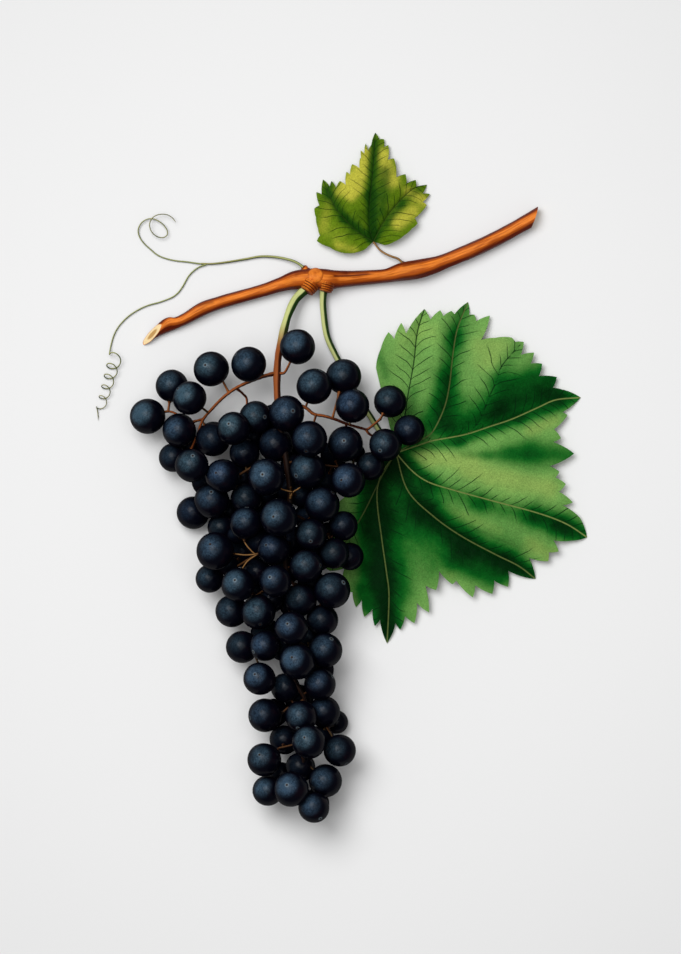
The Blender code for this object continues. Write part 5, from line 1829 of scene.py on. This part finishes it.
def small_leaf() -> GrapeLeaf:
    """The young leaf above the cane.

    Returns:
        The leaf with its own outline, veins and colour zones.
    """
    return GrapeLeaf(
        "small_blade", "small_leaf", "young_leaf_green",
        LeafBlade("small_blade_green", light=(0.098, 0.178, 0.005), yellow=(0.44, 0.42, 0.045),
                  dark=(0.014, 0.062, 0.003), deep=(0.006, 0.036, 0.002), vein_pale=(0.10, 0.16, 0.02),
                  spacing=3.4, width=0.20),
        base=(373.3, 241.4),
        outline=(
            (365.3, 249.1), (357.1, 252.1), (348, 253.2), (338.8, 251.6), (329.6, 247), (316.8, 240.9),
            (319.9, 235.3), (317.9, 228.2), (315.8, 216.9), (314.3, 208.3), (319.4, 205.2), (316.3, 191.9),
            (321.7, 194), (323, 179.2), (329.8, 186.3), (331.6, 180.7), (336.1, 187.3), (339.8, 180.7),
            (345.6, 184.6), (346.4, 171.6), (350, 174), (352, 163.9), (359.6, 168), (360, 158),
            (361.6, 158.4), (360.7, 150.1), (364.4, 153.4), (365.6, 143.2), (368, 150.4), (371.4, 144.5),
            (375.3, 132.4), (379.6, 138.9), (384, 138.9), (384.2, 146.6), (388.5, 144.9), (388, 159.6),
            (394.2, 158.2), (396.4, 177.2), (405.6, 173.9), (406.6, 183.4), (415.8, 179.7), (416.3, 187),
            (427, 184.5), (422.6, 193.2), (430, 193.8), (422.6, 201.8), (427, 204.9), (414.8, 218),
            (417.6, 223.3), (412.2, 228.2), (404.1, 235.3), (393.9, 241.9), (384.7, 245),
        ),
        veins=(
            ((357.1, 231.2), (343.9, 218), (333.7, 204.7), (323, 179.2)),
            ((369.6, 227.1), (369.4, 206.7), (371.9, 181.2), (374, 155.7), (375.3, 132.4)),
            ((386.7, 216.9), (402, 198.6), (415.3, 187.3), (427, 184.5)),
        ),
        tones=(0.2, 0.1, 0.3),
        base_height=4.5, pleat_height=10.0, dome_height=7.0,
        shades=(
            (373, 238, 371, 195, 6, 0.88), (371, 195, 375, 142, 6, 0.64), (370, 238, 344, 218, 5, 0.65),
            (344, 218, 327, 190, 6, 0.58), (378, 234, 402, 203, 5, 0.5), (402, 203, 420, 188, 5, 0.35),
            (352, 232, 360, 215, 8, 0.28), (382, 212, 386, 172, 8, 0.5), (326, 196, 332, 186, 6, 0.25),
        ),
        suns=(
            (360, 172, 352, 186, 9, 0.9), (364, 162, 366, 152, 6, 0.8), (384, 156, 392, 180, 9, 0.85),
            (398, 222, 412, 212, 9, 0.8), (410, 192, 424, 200, 7, 0.7), (330, 200, 322, 228, 7, 0.35),
            (338, 246, 356, 250, 5, 0.4), (338, 192, 350, 182, 6, 0.5), (350, 195, 356, 188, 7, 0.7),
        ),
        stalk=((402.6, 262.6, 9), (398.0, 258.6, 8.6), (392.0, 256.4, 8), (386.0, 253.8, 7),
               (379.6, 249.4, 6), (373.6, 241.8, 4.6)),
        stalk_radii=(1.2, 0.9), stalk_ripe=0.8, rings=60,
    )


@dataclass
class Tendril:
    """The green tendril: a stem that forks, one branch curled round, the other ending in a spring."""

    stem: Rows = (
        (304.8, 268.4, 11), (298, 263.2, 9), (290, 259.8, 7), (275.9, 256.9, 4.4), (260.6, 256.3, 3),
        (245.3, 258.9, 2.6), (226.9, 261.9, 2.6), (211.6, 263.6, 2.6), (200, 263.4, 2.4),
    )
    upper: Rows = (
        (206, 264.2, 2.6), (196, 263, 2.4), (186.1, 261.6, 2), (175.4, 260.5, 2), (165.4, 258.2, 2),
        (157.1, 254.7, 2), (150.5, 249.3, 2), (143.8, 243.1, 2.2), (139.3, 236.5, 2.6), (138, 229.8, 3),
        (140.6, 223.6, 3.4), (146, 219.4, 3.8), (152.4, 218.6, 4.2), (158.8, 221.1, 4.8), (164.2, 225.7, 5),
        (167.1, 230.7, 5), (166.7, 235.2, 5), (162.1, 237.5, 5.4), (156.3, 236, 6), (151.4, 231.5, 7),
        (149.4, 225, 8), (151.4, 218.8, 8.6), (156.3, 215.1, 8.6), (162.9, 214, 8), (168.3, 215.1, 7.4),
        (172.6, 218, 7), (175.8, 222.2, 6.6),
    )
    lower: Rows = (
        (206, 264.4, 2.6), (199.6, 266.6, 2.4), (193.6, 270.6, 2.2), (188, 276.7, 2), (182.5, 286.4, 2),
        (177.5, 293, 2), (171, 297.6, 2), (159.6, 302, 2), (150.5, 304.4, 2), (142.5, 307.4, 2),
        (135.1, 311.4, 2), (128.2, 316.2, 2), (122.2, 321.9, 2), (117, 328.6, 2), (113.2, 336.4, 2),
        (110.6, 346, 2.4),
    )
    coil_tip: Rows = ((97.3, 411.0, 2.6), (97.8, 415.5, 2), (98.0, 420.6, 1.8))
    coil_ends: tuple[Pair, Pair] = ((115.6, 356.0), (100.4, 408.0))
    coil_radii: Pair = (6.6, 4.2)
    coil_height: float = 2.2
    turns: int = 5
    tilt: float = math.radians(38)
    points_a_turn: int = 22
    stem_radii: Pair = (1.35, 0.85)
    branch_radii: Pair = (0.72, 0.44)
    sharp_from: Pair = (0.985, 1.0)
    ripe: Pair = (0.12, 0.37)

    def coil(self) -> Array:
        """The spring: circles that lean over along its axis and shrink, radius r at angle w, the middle
        moving on evenly, the height r sin(tilt) (1 + sin w) over its lowest points.

        Returns:
            Its points as rows (across, down, height).
        """
        part = np.linspace(0, 1, self.turns * self.points_a_turn + 1)
        start, end = np.array(self.coil_ends[0]), np.array(self.coil_ends[1])
        axis = unit(end - start)
        aside = np.array((-axis[1], axis[0]))
        radius = taper(self.coil_radii, part)
        angle = 2 * math.pi * self.turns * part
        middle = start + part[:, None] * (end - start)
        flat = (middle + (radius * np.cos(angle))[:, None] * aside
                - (radius * np.sin(angle) * math.cos(self.tilt))[:, None] * axis)
        rise = radius * math.sin(self.tilt) * (1 + np.sin(angle))
        return np.column_stack((flat, rise + self.coil_height))

    def strand(self, rows: Array | Rows, radii: Pair, count: int) -> Surface:
        """One branch: a tube along the smooth line, its radius going evenly, drawn in at its very tip.

        Args:
            rows: The rows that it passes through.
            radii: Its radius at root and tip.
            count: Rings along it.

        Returns:
            The branch, a little browner towards its tip.
        """
        share = np.linspace(0, 1, count)
        size = taper(radii, share) * (1 - 0.75 * ease(share, *self.sharp_from))
        ripe = taper(self.ripe, share)
        return tube(GRID.points(smooth_line(rows, count)), size * GRID.step, 12, ripe=ripe, dim=0.0)

    def build(self) -> None:
        """Makes the tendril in one piece."""
        lower = np.vstack((self.lower, self.coil(), self.coil_tip))
        parts = [self.strand(self.stem, self.stem_radii, 150),
                 self.strand(self.upper, self.branch_radii, 260),
                 self.strand(lower, self.branch_radii, 560)]
        skin = StemSkin("tendril_skin", green=(0.36, 0.42, 0.16), shaded_green=(0.04, 0.08, 0.015))
        Surface.joined(parts).to_piece("tendril_strands", skin.material(), "tendril_green", "tendril")


@dataclass
class Studio:
    """Pale floor, soft light from above and the camera that looks straight down."""

    floor_side: float = 6.0
    floor_squares: int = 8
    camera_height: float = 14.0
    view_ends: float = 100.0
    picture_rows: int = 954
    sensor: float = 36.0
    picture_middle: Pair = (340.5, 477.0)
    focus_height: float = 14.0 * MM
    lamps: tuple[tuple[float, float, Place], ...] = (
        (98, 2.2, (-1.35, 1.45, 3.5)),
        (74, 3.4, (-0.45, 0.50, 3.9)),
    )
    sky: float = 0.24

    def floor(self) -> None:
        """Lays the floor under the plant."""
        bpy.ops.mesh.primitive_grid_add(x_subdivisions=self.floor_squares, y_subdivisions=self.floor_squares,
                                        size=self.floor_side)
        ground = bpy.context.object
        ground.name = "floor"
        ground.data.materials.append(FloorPaint("floor_paint").material())

    def camera(self) -> None:
        """Sets the camera above the plant, so that the picture's rows are steps of the grid."""
        lens = bpy.data.cameras.new("camera")
        tall = self.picture_rows * GRID.step
        lens.sensor_width = self.sensor
        lens.lens = self.sensor * (self.camera_height - self.focus_height) / tall
        lens.clip_end = self.view_ends
        seat = bpy.data.objects.new("camera", lens)
        seat.location = (*GRID.points(((*self.picture_middle, 0.0),))[0][:2], self.camera_height)
        bpy.context.scene.collection.objects.link(seat)
        bpy.context.scene.camera = seat

    def lights(self) -> None:
        """Two soft lights up and to the left, the wider one nearly overhead, and an even pale sky."""
        scene = bpy.context.scene
        for power, side, (x, y, z) in self.lamps:
            lamp = bpy.data.lights.new("lamp", "AREA")
            lamp.energy = power
            lamp.size = side
            holder = bpy.data.objects.new("lamp", lamp)
            holder.location = (x, y, z)
            holder.rotation_euler = (math.atan2(math.hypot(x, y), z), 0.0, math.atan2(x, -y))
            scene.collection.objects.link(holder)
        world = bpy.data.worlds.new("studio")
        world.use_nodes = True
        sky = world.node_tree.nodes["Background"]
        sky.inputs["Color"].default_value = (1.0, 1.0, 1.0, 1.0)
        sky.inputs["Strength"].default_value = self.sky
        scene.world = world
        scene.view_settings.view_transform = "Standard"

    def build(self) -> None:
        """Makes the floor, lights and camera."""
        self.floor()
        self.camera()
        self.lights()


def main() -> None:
    """Builds the plant and its studio."""
    logging.basicConfig(level=logging.INFO)
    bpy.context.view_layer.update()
    Studio().build()
    bunch = Bunch()
    bunch.build()
    Cane().build()
    berries = bunch.balls()
    large_leaf().build(berries)
    small_leaf().build(berries)
    Tendril().build()
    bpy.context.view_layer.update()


if __name__ == "__main__":
    main()
